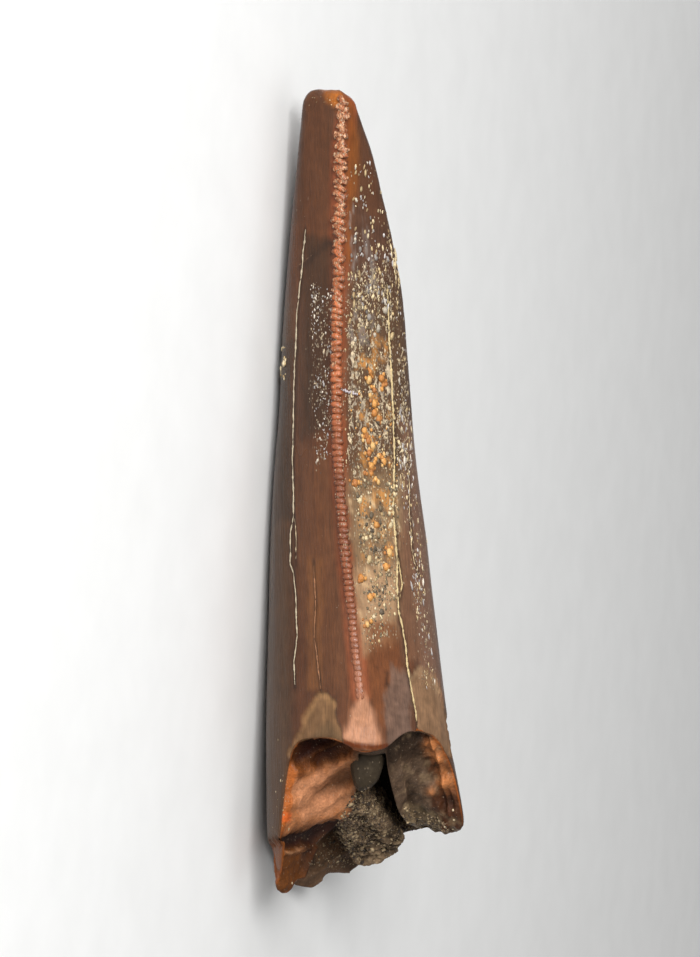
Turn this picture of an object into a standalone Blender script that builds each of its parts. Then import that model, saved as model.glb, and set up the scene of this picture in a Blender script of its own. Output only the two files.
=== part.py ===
"""Fossil tooth of a large meat-eating dinosaur, a blade-like crown broken off at its base.

The crown lies on its lingual flank, on a small flat worn spot. World +Z is up, the floor is at
Z = 0, the tip points along -X and the broken base along +X. The serrated back (distal) edge
faces -Y and a little upwards.

The shape is worked out in the tooth's own directions, in millimetres:
  length  from the tip towards the base
  depth   from the distal edge towards the mesial edge
  side    across the blade, from the lingual face (negative) to the labial face (positive)
"""

import math

import bmesh
import bpy
import numpy as np
from mathutils import Matrix, Vector

MM = 0.001

# How the tooth lies: the blade is rolled so that its distal edge looks up a little, and pitched
# so that the lingual flank lies level along its length.
ROLL = math.radians(17.0)
PITCH = math.radians(-5.2)
FLAT_SPOT_DEPTH = 0.22

# Crown outlines, as (length, side) seen along the distal edge.
LINGUAL_OUTLINE = [
    (0, -4.6), (6, -5.25), (16, -6.25), (26, -6.95), (31, -7.15), (41, -7.9), (51, -8.25),
    (66, -8.5), (82, -8.3),
]
LABIAL_OUTLINE = [
    (0, 0.2), (3, 1.0), (6, 2.1), (11, 3.4), (16, 4.55), (21, 5.4), (28, 6.05),
    (36, 6.7), (46, 7.95), (56, 9.1), (66, 10.3), (71, 11.25), (75, 11.8), (82, 11.6),
]
DISTAL_EDGE = [
    (0, -0.7), (6, -0.85), (16, -1.07), (29, -1.35), (36, -1.28), (46, -0.68), (56, 0.32),
    (64, 1.05), (82, 1.3),
]
MESIAL_EDGE = [(0, -2.0), (20, -1.4), (50, -0.6), (82, 0.0)]
# Depth of the distal edge behind the line from the tip to the base, and depth of the whole blade.
DISTAL_HOLLOW = [(0, 0.0), (38, 1.3), (82, 0.0)]
BLADE_DEPTH = [
    (0, 4.9), (4, 8.0), (10, 11.8), (20, 16.6), (30, 20.7), (45, 26.0), (60, 30.6), (82, 35.4),
]

# Where the blade is thickest, as a share of its depth, and how round each half is.
LINGUAL_THICKEST = 0.39
LABIAL_THICKEST = 0.47
DISTAL_ROUNDNESS = 2.0
MESIAL_ROUNDNESS = 2.1
# A shallow flute runs beside the distal edge on both faces: its depth is a share of the bulge.
FLUTE_DEPTH = 0.031
FLUTE_AT = 0.16
FLUTE_WIDTH = 0.08

# Serrations: one denticle every PITCH along each edge, chisel-shaped, fading near the base.
FIRST_DENTICLE = 1.9
LAST_DENTICLE = 62.4
PITCH_AT_TIP = 0.70
PITCH_AT_BASE = 0.55
DENTICLE_HEIGHT = 0.42
DENTICLE_HALF_WIDTH = 0.62
VALLEY_SHARE = 0.12
STRIP_LIFT = 0.1
MESIAL_EDGE_ENDS = 49.0
EDGE_FADE = 4.0
BASE_FADE = 6.0
# The denticles are worn down at the tip and reach their full height WORN_LENGTH below it.
TIP_WEAR = 0.45
WORN_LENGTH = 7.7
TIP_NARROWING = 0.5
NARROW_LENGTH = 4.0
# Below the last denticle the edge flattens into a smooth triangle.
TRIANGLE_HALF_WIDTH = 2.1
TRIANGLE_ENDS = 68.1
TRIANGLE_FLATNESS = 0.75
TRIANGLE_BLEND = 3.0
# The strip of an edge never takes more than this share of a face.
MOST_EDGE_SHARE = 0.12

# The tip is worn to a small blunt face that slopes down towards the labial side.
# Each row of it is (share of the full section, length).
TIP_ROWS = [(0.32, 0.25), (0.64, 0.45), (0.87, 0.9)]
TIP_BODY_STARTS = 1.5
TIP_SLOPE = 0.2
TIP_SLOPE_LENGTH = 3.2
TIP_HIGH_SIDE = -3.2
TIP_SLOPE_RANGE = (-0.8, 4.0)

# Around the broken base. Place runs from the mesial edge (-1) over the lingual face to the distal
# edge (0) and over the labial face back to the mesial edge (1).
# Outer rim of the break, as (place, length): a scalloped arch at the front and a prong each side.
RIM = [
    (-1.0, 77.6), (-0.92, 77.8), (-0.84, 79.6), (-0.75, 79.6), (-0.67, 77.4), (-0.5, 75.2),
    (-0.38, 75.4), (-0.345, 77.6), (-0.31, 81.2), (-0.285, 80.9), (-0.255, 75.4), (-0.228, 70.2),
    (-0.2, 67.7), (-0.15, 67.0), (-0.083, 66.9), (-0.046, 67.2), (0.0, 68.1), (0.058, 67.9),
    (0.086, 67.2), (0.12, 66.4), (0.16, 65.9), (0.24, 66.1), (0.33, 67.6), (0.385, 69.3),
    (0.42, 72.4), (0.46, 74.6), (0.5, 74.6), (0.57, 74.1), (0.7, 73.4), (0.82, 73.5),
    (0.91, 75.0), (1.0, 77.6),
]
# Mouth of the pulp cavity, as (place, depth, side, length).
CAVITY_MOUTH = [
    (-1.0, 31.0, 0.0, 75.6), (-0.9, 30.2, -2.0, 76.4), (-0.8, 28.4, -3.9, 77.6),
    (-0.66, 25.4, -5.2, 76.6), (-0.5, 21.5, -5.3, 76.0), (-0.37, 17.5, -5.4, 77.2),
    (-0.32, 15.5, -5.4, 79.4), (-0.288, 15.3, -5.1, 79.2), (-0.27, 17.2, -3.8, 76.2),
    (-0.255, 18.0, -1.9, 74.1), (-0.24, 16.0, -0.3, 72.9), (-0.22, 12.0, 0.2, 71.1),
    (-0.18, 8.6, 0.4, 69.0),
    (-0.06, 6.8, 0.9, 67.7), (0.0, 6.4, 2.1, 67.9), (0.06, 7.0, 3.5, 67.6),
    (0.18, 9.0, 3.8, 69.1), (0.28, 12.0, 4.35, 71.1), (0.36, 15.0, 5.0, 72.8),
    (0.43, 18.5, 6.0, 73.7), (0.53, 22.5, 6.9, 73.8), (0.7, 26.5, 6.1, 73.0),
    (0.85, 29.4, 3.9, 73.6), (1.0, 31.0, 0.0, 75.6),
]
# Deeper in, the cavity is a slim oval that narrows to its roof: depth and side of its middle, length
# of its roof, its half sizes just inside the mouth, and how soon it takes over from the mouth's shape.
CAVITY_MIDDLE = (15.8, 1.2)
CAVITY_ROOF = 48.0
CAVITY_HALF_SIZE = (10.4, 3.7)
CAVITY_SETTLES = 0.35
CAVITY_BLUNTNESS = 0.6
# How far the break is scooped out towards the tip between its rim and the cavity. The scoop's
# profile is sqrt(f) * (1 - f), which SCOOP_SCALE brings to 1 where it is deepest.
SCOOP = [
    (-1.0, 0.0), (-0.5, 0.2), (-0.3, 0.5), (-0.16, 2.4), (-0.05, 0.8), (0.0, 0.3),
    (0.06, 0.8), (0.2, 2.2), (0.4, 1.0), (0.6, 0.1), (1.0, 0.0),
]
SCOOP_SCALE = 2.6
# Ribs on the broken dentine: radians of phase around the break and across it, then the second,
# finer set.
RIB_HEIGHT = 0.22
RIB_AROUND = 46.0
RIB_SLANT = 5.5
FINE_RIB_SHARE = 0.6
FINE_RIB_RATE = 2.3
FINE_RIB_PHASE = 1.1

# The rock fill, its face cut back from the front of the cavity, as (length, depth).
FILL_FACE = [
    (52, 16.0), (62, 13.8), (69.5, 13.0), (71.4, 14.4), (73, 18.4), (74.5, 23.0), (76, 27.4),
    (77, 29.0),
]
FILL_ROWS = (58, 61, 64, 67.5, 69.5, 70.4, 71.2, 72, 72.8, 73.5, 74.2, 74.9, 75.5, 76.1, 76.6)
FILL_COLUMNS = 40
FILL_CLEARANCE = 0.85
# Open gap between the fill and the labial wall, and how wide the fill is towards the lingual wall.
FILL_GAP = [(52, 1.0), (66, 2.2), (71, 2.4), (73.5, 1.4), (75.5, 0.2)]
FILL_GAP_SPREAD = 3.0
FILL_GAP_ENDS = 29.0
FILL_GAP_FADE = 6.0
FILL_LINGUAL_SHARE = [(60, 1.0), (71, 0.95), (73, 0.6), (75, 0.3), (76.6, 0.1)]
FILL_ROUGHNESS = 0.14
FILL_ROUGH_FROM = 67.5
FILL_STEEPEST = 1.12
# The mud lobe: centre and half sizes along depth, side and length.
PLUG_CENTRE = (9.8, 1.95, 66.0)
PLUG_HALF_SIZE = (2.25, 1.14, 5.2)
PLUG_SQUARENESS = 0.72
PLUG_TAPER = 0.45

# Columns around the blade: points across one serrated edge, and across one face from its distal
# to its mesial edge, closer together where the base is broken into prongs.
EDGE_SPREAD = (-1.0, -0.55, 0.0, 0.55, 1.0)
FACE_SPREAD = (
    0.035, 0.08, 0.125, 0.17, 0.205, 0.235, 0.265, 0.3, 0.34,
    0.39, 0.45, 0.53, 0.61, 0.68, 0.74, 0.8, 0.87, 0.945,
)
FACE_COLUMNS = len(FACE_SPREAD)
# Fine rows of the serrated edges between two rows that go all the way round: four denticles.
FINE_ROWS = 8
ROOT_ROWS = 7
BREAK_ROWS = 5
CAVITY_ROWS = (0.15, 0.35, 0.53, 0.68, 0.8, 0.89, 0.95)


def curve(knots, where, column=1):
    """Smooth curve through knots, with no overshoot between them."""
    table = np.array(knots, float)
    at, value = table[:, 0], table[:, column]
    where = np.clip(np.asarray(where, float), at[0], at[-1])
    step = np.diff(at)
    slope = np.diff(value) / step
    tangent = np.zeros_like(value)
    tangent[0], tangent[-1] = slope[0], slope[-1]
    product = slope[:-1] * slope[1:]
    same_way = product > 0
    total = np.where(same_way, slope[:-1] + slope[1:], 1.0)
    tangent[1:-1] = np.where(same_way, 2 * product / total, 0.0)
    i = np.clip(np.searchsorted(at, where, side="right") - 1, 0, len(step) - 1)
    f = (where - at[i]) / step[i]
    rise = value[i] * (1 + 2 * f) * (1 - f) ** 2 + value[i + 1] * f * f * (3 - 2 * f)
    return rise + step[i] * f * (1 - f) * (tangent[i] * (1 - f) - tangent[i + 1] * f)


def bump(x, centre, width):
    return np.exp(-(((x - centre) / width) ** 2))


def outside(place, length):
    """(length, depth, side) of the crown's outer surface, without its serrations."""
    place = np.asarray(place, float)
    length = np.broadcast_to(np.asarray(length, float), place.shape)
    share = np.abs(place)
    labial = place >= 0
    thickest = np.where(labial, LABIAL_THICKEST, LINGUAL_THICKEST)
    front = np.clip(1 - share / thickest, 0, 1)
    back = np.clip((share - thickest) / (1 - thickest), 0, 1)
    fullness = 1 - front**DISTAL_ROUNDNESS - back**MESIAL_ROUNDNESS
    fullness = fullness - FLUTE_DEPTH * bump(share, FLUTE_AT, FLUTE_WIDTH)
    fullness = np.where(share == 0, 0.0, fullness)
    edge = curve(DISTAL_EDGE, length)
    middle = edge + (curve(MESIAL_EDGE, length) - edge) * share
    outline = np.where(labial, curve(LABIAL_OUTLINE, length), curve(LINGUAL_OUTLINE, length))
    chord = edge + (curve(MESIAL_EDGE, length) - edge) * thickest
    side = middle + (outline - chord) * fullness
    depth = curve(DISTAL_HOLLOW, length) + curve(BLADE_DEPTH, length) * share
    return np.stack([length + 0 * depth, depth, side], axis=-1)


def edge_share(length, half_width, labial):
    """How far along a face, as a share of the blade's depth, its edge is half_width wide."""
    edge = curve(DISTAL_EDGE, length)
    outline = curve(LABIAL_OUTLINE if labial else LINGUAL_OUTLINE, length)
    thickest = LABIAL_THICKEST if labial else LINGUAL_THICKEST
    bulge = np.abs(outline - edge) * DISTAL_ROUNDNESS / thickest
    return np.minimum(half_width / bulge, MOST_EDGE_SHARE)


def half_width(length):
    """Half width of the serrated strip, which spreads into a triangle below the last denticle."""
    grow = np.clip((length - LAST_DENTICLE) / (TRIANGLE_ENDS - LAST_DENTICLE), 0, 1)
    narrow_tip = np.clip(TIP_NARROWING + (1 - TIP_NARROWING) * length / NARROW_LENGTH, 0, 1)
    return DENTICLE_HALF_WIDTH * narrow_tip * (1 - grow) + TRIANGLE_HALF_WIDTH * grow


def column_places(length):
    """Place of every column at one length, once around from the distal edge over the labial side."""
    wide = half_width(length)
    labial = edge_share(length, wide, True)
    lingual = edge_share(length, wide, False)
    spacing = np.array(FACE_SPREAD)
    across_labial = labial + (1 - 2 * labial) * spacing
    across_lingual = lingual + (1 - 2 * lingual) * spacing
    spread = np.array(EDGE_SPREAD)
    distal = np.where(spread < 0, spread * lingual, spread * labial)
    mesial = np.where(spread < 0, 1 + spread * labial, spread * lingual - 1)
    mesial = np.where(spread == 0, 1.0, mesial)
    mesial = np.where(spread > 0, -1 + spread * lingual, mesial)
    return np.concatenate([distal[2:], across_labial, mesial, -across_lingual[::-1], distal[:2]])


HALF_EDGE = len(EDGE_SPREAD) // 2
COLUMNS = 2 * FACE_COLUMNS + 2 * len(EDGE_SPREAD)
DISTAL_COLUMNS = [(c - HALF_EDGE) % COLUMNS for c in range(len(EDGE_SPREAD))]
MESIAL_COLUMNS = [FACE_COLUMNS + len(EDGE_SPREAD) - HALF_EDGE + c for c in range(len(EDGE_SPREAD))]


def denticle_rows():
    """Lengths of the rows, from valley to crown to valley of each denticle."""
    valleys = [FIRST_DENTICLE]
    while valleys[-1] < LAST_DENTICLE or (len(valleys) - 1) % (FINE_ROWS // 2):
        along = (valleys[-1] - FIRST_DENTICLE) / (LAST_DENTICLE - FIRST_DENTICLE)
        valleys.append(valleys[-1] + PITCH_AT_TIP + (PITCH_AT_BASE - PITCH_AT_TIP) * along)
    rows = []
    for first, second in zip(valleys, valleys[1:]):
        rows += [first, (first + second) / 2]
    return rows + [valleys[-1]]


def serrate(points, length, is_crown):
    """Raises the strips along both edges, high on the crown of a denticle and low between two."""
    wear = np.clip(TIP_WEAR + (1 - TIP_WEAR) * length / WORN_LENGTH, 0, 1)
    distal_present = np.clip((LAST_DENTICLE + 1 - length) / BASE_FADE, 0, 1)
    mesial_present = np.clip((MESIAL_EDGE_ENDS - length) / EDGE_FADE, 0, 1)
    strips = ((DISTAL_COLUMNS, -1, distal_present), (MESIAL_COLUMNS, 1, mesial_present))
    for columns, sign, present in strips:
        crest = DENTICLE_HEIGHT * wear * present * (1.0 if is_crown else VALLEY_SHARE)
        for offset, column in zip(EDGE_SPREAD, columns):
            within = abs(offset) < 1
            points[column, 1] += sign * (crest * (1 - offset**2) + STRIP_LIFT * present * within)


def flatten_triangle(points, length):
    """Planes the distal edge off below the last denticle."""
    amount = TRIANGLE_FLATNESS * np.clip((length - LAST_DENTICLE) / TRIANGLE_BLEND, 0, 1)
    ends = points[DISTAL_COLUMNS[0]], points[DISTAL_COLUMNS[-1]]
    for offset, column in zip(EDGE_SPREAD[1:-1], DISTAL_COLUMNS[1:-1]):
        f = (offset + 1) / 2
        flat = ends[0] * (1 - f) + ends[1] * f
        points[column] = points[column] * (1 - amount) + flat * amount


def crown_row(length, is_crown=False):
    points = outside(column_places(length), length)
    serrate(points, length, is_crown)
    flatten_triangle(points, length)
    return points


def tip_row(shrink, start):
    """A ring of the blunt tip, drawn in towards its middle and sloping to the labial side."""
    points = crown_row(TIP_BODY_STARTS)
    middle = points.mean(axis=0)
    points[:, 1:] = middle[1:] + (points[:, 1:] - middle[1:]) * shrink
    points[:, 0] = start
    return points


def slope_tip(points):
    near_tip = np.clip(1 - points[:, 0] / TIP_SLOPE_LENGTH, 0, 1)
    points[:, 0] += TIP_SLOPE * near_tip * np.clip(points[:, 2] - TIP_HIGH_SIDE, *TIP_SLOPE_RANGE)


def rim_places():
    """Places of the columns where they meet the break."""
    return column_places(TRIANGLE_ENDS)


def cavity_mouth(place):
    depth, side, length = (curve(CAVITY_MOUTH, place, column) for column in (1, 2, 3))
    return np.stack([length, depth, side], axis=-1)


def cavity_wall(place, f):
    """Wall of the pulp cavity, from its mouth (f = 0) to its roof (f = 1)."""
    mouth = cavity_mouth(place)
    f = np.broadcast_to(np.asarray(f, float), place.shape)
    narrow = (1 - f) ** CAVITY_BLUNTNESS
    turn = np.pi * place
    oval = [
        CAVITY_MIDDLE[0] - CAVITY_HALF_SIZE[0] * narrow * np.cos(turn),
        CAVITY_MIDDLE[1] + CAVITY_HALF_SIZE[1] * narrow * np.sin(turn),
    ]
    settled = np.clip(f / CAVITY_SETTLES, 0, 1)
    settled = settled * settled * (3 - 2 * settled)
    length = mouth[:, 0] + (CAVITY_ROOF - mouth[:, 0]) * f
    depth = mouth[:, 1] * (1 - settled) + oval[0] * settled
    side = mouth[:, 2] * (1 - settled) + oval[1] * settled
    return np.stack([length, depth, side], axis=-1)


def wall_at(place, length):
    """(depth, side) of the cavity's wall at one length."""
    mouth = cavity_mouth(place)[:, 0]
    f = np.clip((mouth - length) / (mouth - CAVITY_ROOF), 0, 0.98)
    return cavity_wall(place, f)[:, 1:]


def ribs(place, f):
    """Diagonal ribs on the broken dentine."""
    phase = RIB_AROUND * place + RIB_SLANT * f
    fine = FINE_RIB_SHARE * np.sin(FINE_RIB_RATE * phase + FINE_RIB_PHASE)
    return RIB_HEIGHT * (np.sin(phase) + fine) * np.sin(np.pi * f)


def mesh_rows_to_faces(bm, upper, lower):
    count = len(upper)
    for i in range(count):
        j = (i + 1) % count
        bm.faces.new((upper[i], lower[i], lower[j], upper[j]))


def place_on_floor():
    """Turns (length, depth, side) into world directions."""
    return Matrix.Rotation(PITCH, 3, "Y") @ Matrix.Rotation(-ROLL, 3, "X")


def finish(name, bm, colour, roughness, shift):
    """Lays a shape on the floor and gives it its object, smooth shading and material."""
    turn = place_on_floor()
    for vertex in bm.verts:
        vertex.co = (turn @ vertex.co + shift) * MM
    mesh = bpy.data.meshes.new(name)
    bmesh.ops.triangulate(bm, faces=bm.faces[:])
    bmesh.ops.recalc_face_normals(bm, faces=bm.faces[:])
    if bm.calc_volume(signed=True) < 0:
        bmesh.ops.reverse_faces(bm, faces=bm.faces[:])
    bm.to_mesh(mesh)
    bm.free()
    mesh.shade_smooth()
    mesh.set_sharp_from_angle(angle=math.radians(50))
    material = bpy.data.materials.new(name)
    material.use_nodes = True
    shader = material.node_tree.nodes["Principled BSDF"]
    shader.inputs["Base Color"].default_value = (*colour, 1)
    shader.inputs["Roughness"].default_value = roughness
    shader.inputs["Metallic"].default_value = 0
    mesh.materials.append(material)
    obj = bpy.data.objects.new(name, mesh)
    bpy.context.scene.collection.objects.link(obj)
    return obj


def build_tooth():
    bm = bmesh.new()

    def add_row(points):
        slope_tip(points)
        return [bm.verts.new(point) for point in points]

    # The blunt tip.
    rows = [add_row(tip_row(shrink, start)) for shrink, start in TIP_ROWS]
    bm.faces.new(rows[0][::-1])
    for upper, lower in zip(rows, rows[1:]):
        mesh_rows_to_faces(bm, upper, lower)

    # The blade. Only the serrated strips have a row for every valley and crown.
    strips = [DISTAL_COLUMNS, MESIAL_COLUMNS]
    lengths = denticle_rows()
    above = rows[-1]
    fine = []
    for index, length in enumerate(lengths):
        points = crown_row(length, is_crown=index % 2 == 1)
        slope_tip(points)
        whole = index % FINE_ROWS == 0
        row = {}
        for column in range(COLUMNS):
            if whole or any(column in strip for strip in strips):
                row[column] = bm.verts.new(points[column])
        if index:
            for strip in strips:
                for a, b in zip(strip, strip[1:]):
                    bm.faces.new((fine[-1][a], row[a], row[b], fine[-1][b]))
        fine.append(row)
        if not whole:
            continue
        if not index:
            mesh_rows_to_faces(bm, above, [row[c] for c in range(COLUMNS)])
            continue
        for column in range(COLUMNS):
            after = (column + 1) % COLUMNS
            if any(column in strip[:-1] for strip in strips):
                continue
            between = fine[index - FINE_ROWS :]
            down = [row[column] for row in between if column in row]
            up = [row[after] for row in reversed(between) if after in row]
            bm.faces.new(down + up)
        above = [row[c] for c in range(COLUMNS)]

    # The root end of the crown, its rows bending to meet the break.
    last_length = lengths[-1]
    places_start = column_places(last_length)
    places_end = rim_places()
    rim = curve(RIM, places_end)
    for k in range(1, ROOT_ROWS + 1):
        f = k / ROOT_ROWS
        places = places_start * (1 - f) + places_end * f
        places = np.where(np.abs(places_start - places_end) > 1, places_end, places)
        length = last_length + (rim - last_length) * f
        points = outside(places, length)
        flatten_triangle(points, length[0])
        row = add_row(points)
        mesh_rows_to_faces(bm, above, row)
        above = row
    outer = points

    # The break, scooped and ribbed, from the rim in to the mouth of the cavity.
    mouth = cavity_mouth(places_end)
    scoop = curve(SCOOP, places_end)
    for k in range(1, BREAK_ROWS + 1):
        f = k / BREAK_ROWS
        points = outer * (1 - f) + mouth * f
        points[:, 0] -= scoop * SCOOP_SCALE * math.sqrt(f) * (1 - f)
        points[:, 0] -= ribs(places_end, f)
        row = [bm.verts.new(point) for point in points]
        mesh_rows_to_faces(bm, above, row)
        above = row

    # The pulp cavity.
    for f in CAVITY_ROWS:
        points = cavity_wall(places_end, f)
        row = [bm.verts.new(point) for point in points]
        mesh_rows_to_faces(bm, above, row)
        above = row
    bm.faces.new(above)
    return bm


def reach(outline, middle, directions):
    """Distance from the middle to a closed outline along each direction."""
    start = outline - middle
    run = np.roll(outline, -1, axis=0) - outline
    found = []
    for across, up in directions:
        facing = across * run[:, 1] - up * run[:, 0]
        facing = np.where(np.abs(facing) < 1e-9, 1e-9, facing)
        away = (start[:, 0] * run[:, 1] - start[:, 1] * run[:, 0]) / facing
        along = (start[:, 0] * up - start[:, 1] * across) / facing
        hits = away[(away > 0) & (along >= 0) & (along <= 1)]
        found.append(hits.min())
    return np.array(found)


def fill_outline(length):
    """Room for the rock fill at one length: the cavity's wall, drawn in by the clearance and the gap."""
    wall = wall_at(rim_places(), length)
    middle = wall.mean(axis=0)
    inward = middle - wall
    wall = wall + inward / np.linalg.norm(inward, axis=1, keepdims=True) * FILL_CLEARANCE
    labial = np.clip((wall[:, 1] - middle[1]) / FILL_GAP_SPREAD, 0, 1)
    labial *= np.clip((FILL_GAP_ENDS - wall[:, 0]) / FILL_GAP_FADE, 0, 1)
    wall[:, 1] -= curve(FILL_GAP, length) * labial
    lingual = np.minimum(wall[:, 1] - middle[1], 0)
    wall[:, 1] -= lingual * (1 - curve(FILL_LINGUAL_SHARE, length))
    return wall


def build_fill():
    """Coarse rock in the back of the cavity, with a rough front face."""
    random = np.random.default_rng(7)
    turns = np.linspace(0, 2 * np.pi, FILL_COLUMNS, endpoint=False)
    directions = np.column_stack([np.cos(turns), np.sin(turns)])
    bm = bmesh.new()
    above = None
    for length in FILL_ROWS:
        outline = fill_outline(length)
        face = curve(FILL_FACE, length)
        middle = np.array([(face + outline[:, 0].max()) / 2, outline[:, 1].mean()])
        far = reach(outline, middle, directions)
        to_face = (face - middle[0]) / np.minimum(directions[:, 0], -1e-6)
        far = np.minimum(far, to_face)
        far = np.minimum(far, np.minimum(np.roll(far, 1), np.roll(far, -1)) * FILL_STEEPEST)
        roughness = FILL_ROUGHNESS * random.uniform(0, 1, FILL_COLUMNS)
        if length > FILL_ROUGH_FROM:
            far *= 1 - roughness
        points = middle + directions * far[:, None]
        row = [bm.verts.new((length, depth, side)) for depth, side in points]
        if above:
            mesh_rows_to_faces(bm, above, row)
        else:
            bm.faces.new(row[::-1])
        above = row
    bm.faces.new(above)
    return bm


def build_plug():
    bm = bmesh.new()
    bmesh.ops.create_icosphere(bm, subdivisions=3, radius=1.0)
    for vertex in bm.verts:
        across, along, deep = (math.copysign(abs(c) ** PLUG_SQUARENESS, c) for c in vertex.co)
        taper = 1 - PLUG_TAPER * max(0.0, -along)
        vertex.co = (
            PLUG_CENTRE[2] + PLUG_HALF_SIZE[2] * along,
            PLUG_CENTRE[0] + PLUG_HALF_SIZE[0] * deep * taper,
            PLUG_CENTRE[1] + PLUG_HALF_SIZE[1] * across * taper,
        )
    return bm


def flatten_underside(bm):
    """Shift that sets the shape on the floor with its flat spot at Z = 0, centred over the origin."""
    turn = place_on_floor()
    points = np.array([turn @ vertex.co for vertex in bm.verts])
    low = points.min(axis=0)
    high = points.max(axis=0)
    middle = (low + high) / 2
    floor = low[2] + FLAT_SPOT_DEPTH
    back = turn.inverted()
    for vertex in bm.verts:
        world = turn @ vertex.co
        if world.z < floor:
            world.z = floor
            vertex.co = back @ world
    return Vector((-middle[0], -middle[1], -floor))


def main():
    for obj in list(bpy.data.objects):
        bpy.data.objects.remove(obj, do_unlink=True)
    tooth = build_tooth()
    shift = flatten_underside(tooth)
    finish("tooth", tooth, (0.13, 0.055, 0.03), 0.35, shift)
    finish("sand_matrix", build_fill(), (0.09, 0.07, 0.05), 0.9, shift)
    finish("mud_plug", build_plug(), (0.06, 0.055, 0.04), 0.55, shift)


main()
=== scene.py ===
# %% [markdown]
# # A fossil tooth, lying on its flank
#
# The object is one tooth of a large meat-eating dinosaur: a long, flattened crown with a serrated
# edge front and back, broken off at its base. The break shows the dentine, and the hollow of the
# pulp, half filled with sandy rock and a lobe of dried mud. A crust of cream and golden grains
# clings to one flank, and cream-coloured fill stands in the cracks.
#
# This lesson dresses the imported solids. The camera looks at the serrated back edge, with the tip
# at the top of the picture and the break at the bottom.

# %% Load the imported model
import itertools
import math

import bpy
import numpy as np
from mathutils import Matrix, Vector
from mathutils.bvhtree import BVHTree


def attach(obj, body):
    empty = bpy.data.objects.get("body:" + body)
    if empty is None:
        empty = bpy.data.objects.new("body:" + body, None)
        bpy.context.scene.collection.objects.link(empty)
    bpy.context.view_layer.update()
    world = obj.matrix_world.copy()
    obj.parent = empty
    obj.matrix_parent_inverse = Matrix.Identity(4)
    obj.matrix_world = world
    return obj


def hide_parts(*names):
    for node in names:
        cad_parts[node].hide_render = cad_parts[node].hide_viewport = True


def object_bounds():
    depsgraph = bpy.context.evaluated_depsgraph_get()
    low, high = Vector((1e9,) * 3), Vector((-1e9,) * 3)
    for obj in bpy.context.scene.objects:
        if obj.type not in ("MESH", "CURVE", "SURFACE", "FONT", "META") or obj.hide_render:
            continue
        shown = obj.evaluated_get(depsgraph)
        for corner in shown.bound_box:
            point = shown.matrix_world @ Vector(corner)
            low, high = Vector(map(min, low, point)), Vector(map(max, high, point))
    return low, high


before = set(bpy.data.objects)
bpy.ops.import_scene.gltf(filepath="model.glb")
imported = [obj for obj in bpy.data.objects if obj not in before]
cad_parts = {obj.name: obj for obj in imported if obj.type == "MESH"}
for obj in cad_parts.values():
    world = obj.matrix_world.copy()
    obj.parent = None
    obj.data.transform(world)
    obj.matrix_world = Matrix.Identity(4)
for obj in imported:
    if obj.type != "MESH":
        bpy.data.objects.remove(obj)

cad_low, cad_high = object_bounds()
print("solids, size in mm:", [round(1000 * (b - a), 1) for a, b in zip(cad_low, cad_high)])

# %% [markdown]
# ## The tooth's own directions
#
# A curved natural shape is easiest to describe in its own directions: the length from the tip, the
# depth from the back edge, and the side, from the lingual face (negative) to the labial face
# (positive), all in millimetres. The tooth then lies on the floor with a small roll and pitch, so
# every piece is shaped in its own directions first and turned into place at the end.

# %% How the tooth lies
MM = 0.001
ROLL = math.radians(17.0)
PITCH = math.radians(-5.2)
TURN = np.array(Matrix.Rotation(PITCH, 3, "Y") @ Matrix.Rotation(-ROLL, 3, "X"))
SHIFT = np.array([-41.103, -16.294, 7.537])


def to_world(points):
    """Tooth directions in millimetres to the row's frame in metres."""
    return (np.asarray(points, float) @ TURN.T + SHIFT) * MM


def to_tooth(points):
    return (np.asarray(points, float) / MM - SHIFT) @ TURN


def deselect():
    bpy.ops.object.select_all(action="DESELECT")


def select(*objects):
    """Selects these objects alone, and makes the first one active."""
    deselect()
    for obj in objects:
        obj.select_set(True)
    bpy.context.view_layer.objects.active = objects[0]


def merge_doubles(obj, outwards=False):
    """Merges points that lie in one place, and can turn all faces outwards."""
    select(obj)
    bpy.ops.object.mode_set(mode="EDIT")
    bpy.ops.mesh.select_all(action="SELECT")
    bpy.ops.mesh.remove_doubles(threshold=1e-6)
    if outwards:
        bpy.ops.mesh.normals_make_consistent(inside=False)
    bpy.ops.object.mode_set(mode="OBJECT")


def link_object(name, data):
    obj = bpy.data.objects.new(name, data)
    bpy.context.scene.collection.objects.link(obj)
    return obj


def read_points(obj):
    points = np.empty(len(obj.data.vertices) * 3)
    obj.data.vertices.foreach_get("co", points)
    return points.reshape(-1, 3)


def write_points(obj, points):
    obj.data.vertices.foreach_set("co", np.asarray(points, np.float32).ravel())
    obj.data.update()


# %% [markdown]
# ## The camera comes first
#
# The photograph looks at the back edge from a little on the base's side, through a long lens. With
# the camera settled first, cracks, chips and grains can be given where they are seen in the
# picture (700 wide and 957 high), and dropped onto the surface along the line of sight.

# %% Camera
PICTURE = (700, 957)
SENSOR = 36.0
CAMERA_TILT = math.radians(10.0)
CAMERA_DISTANCE = 380.0
PIXELS_PER_MM = 9.9
PICTURE_SCALE = PIXELS_PER_MM * CAMERA_DISTANCE
CAMERA_AIM = np.array([39.9, 6.0, 0.0])

forward = np.array([-math.sin(CAMERA_TILT), math.cos(CAMERA_TILT), 0.0])
down = np.array([math.cos(CAMERA_TILT), math.sin(CAMERA_TILT), 0.0])
right = np.array([0.0, 0.0, 1.0])
eye = CAMERA_AIM - forward * CAMERA_DISTANCE

bpy.ops.object.camera_add()
camera = bpy.context.object
camera.name = "camera"
camera.data.sensor_width = SENSOR
camera.data.lens = SENSOR * PICTURE_SCALE / PICTURE[1]
camera.data.clip_start = 0.01
axes = np.array([right, -down, -forward]) @ TURN.T
turned = Matrix(axes.tolist()).transposed().to_4x4()
camera.matrix_world = Matrix.Translation(to_world(eye)) @ turned
bpy.context.scene.camera = camera
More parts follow.
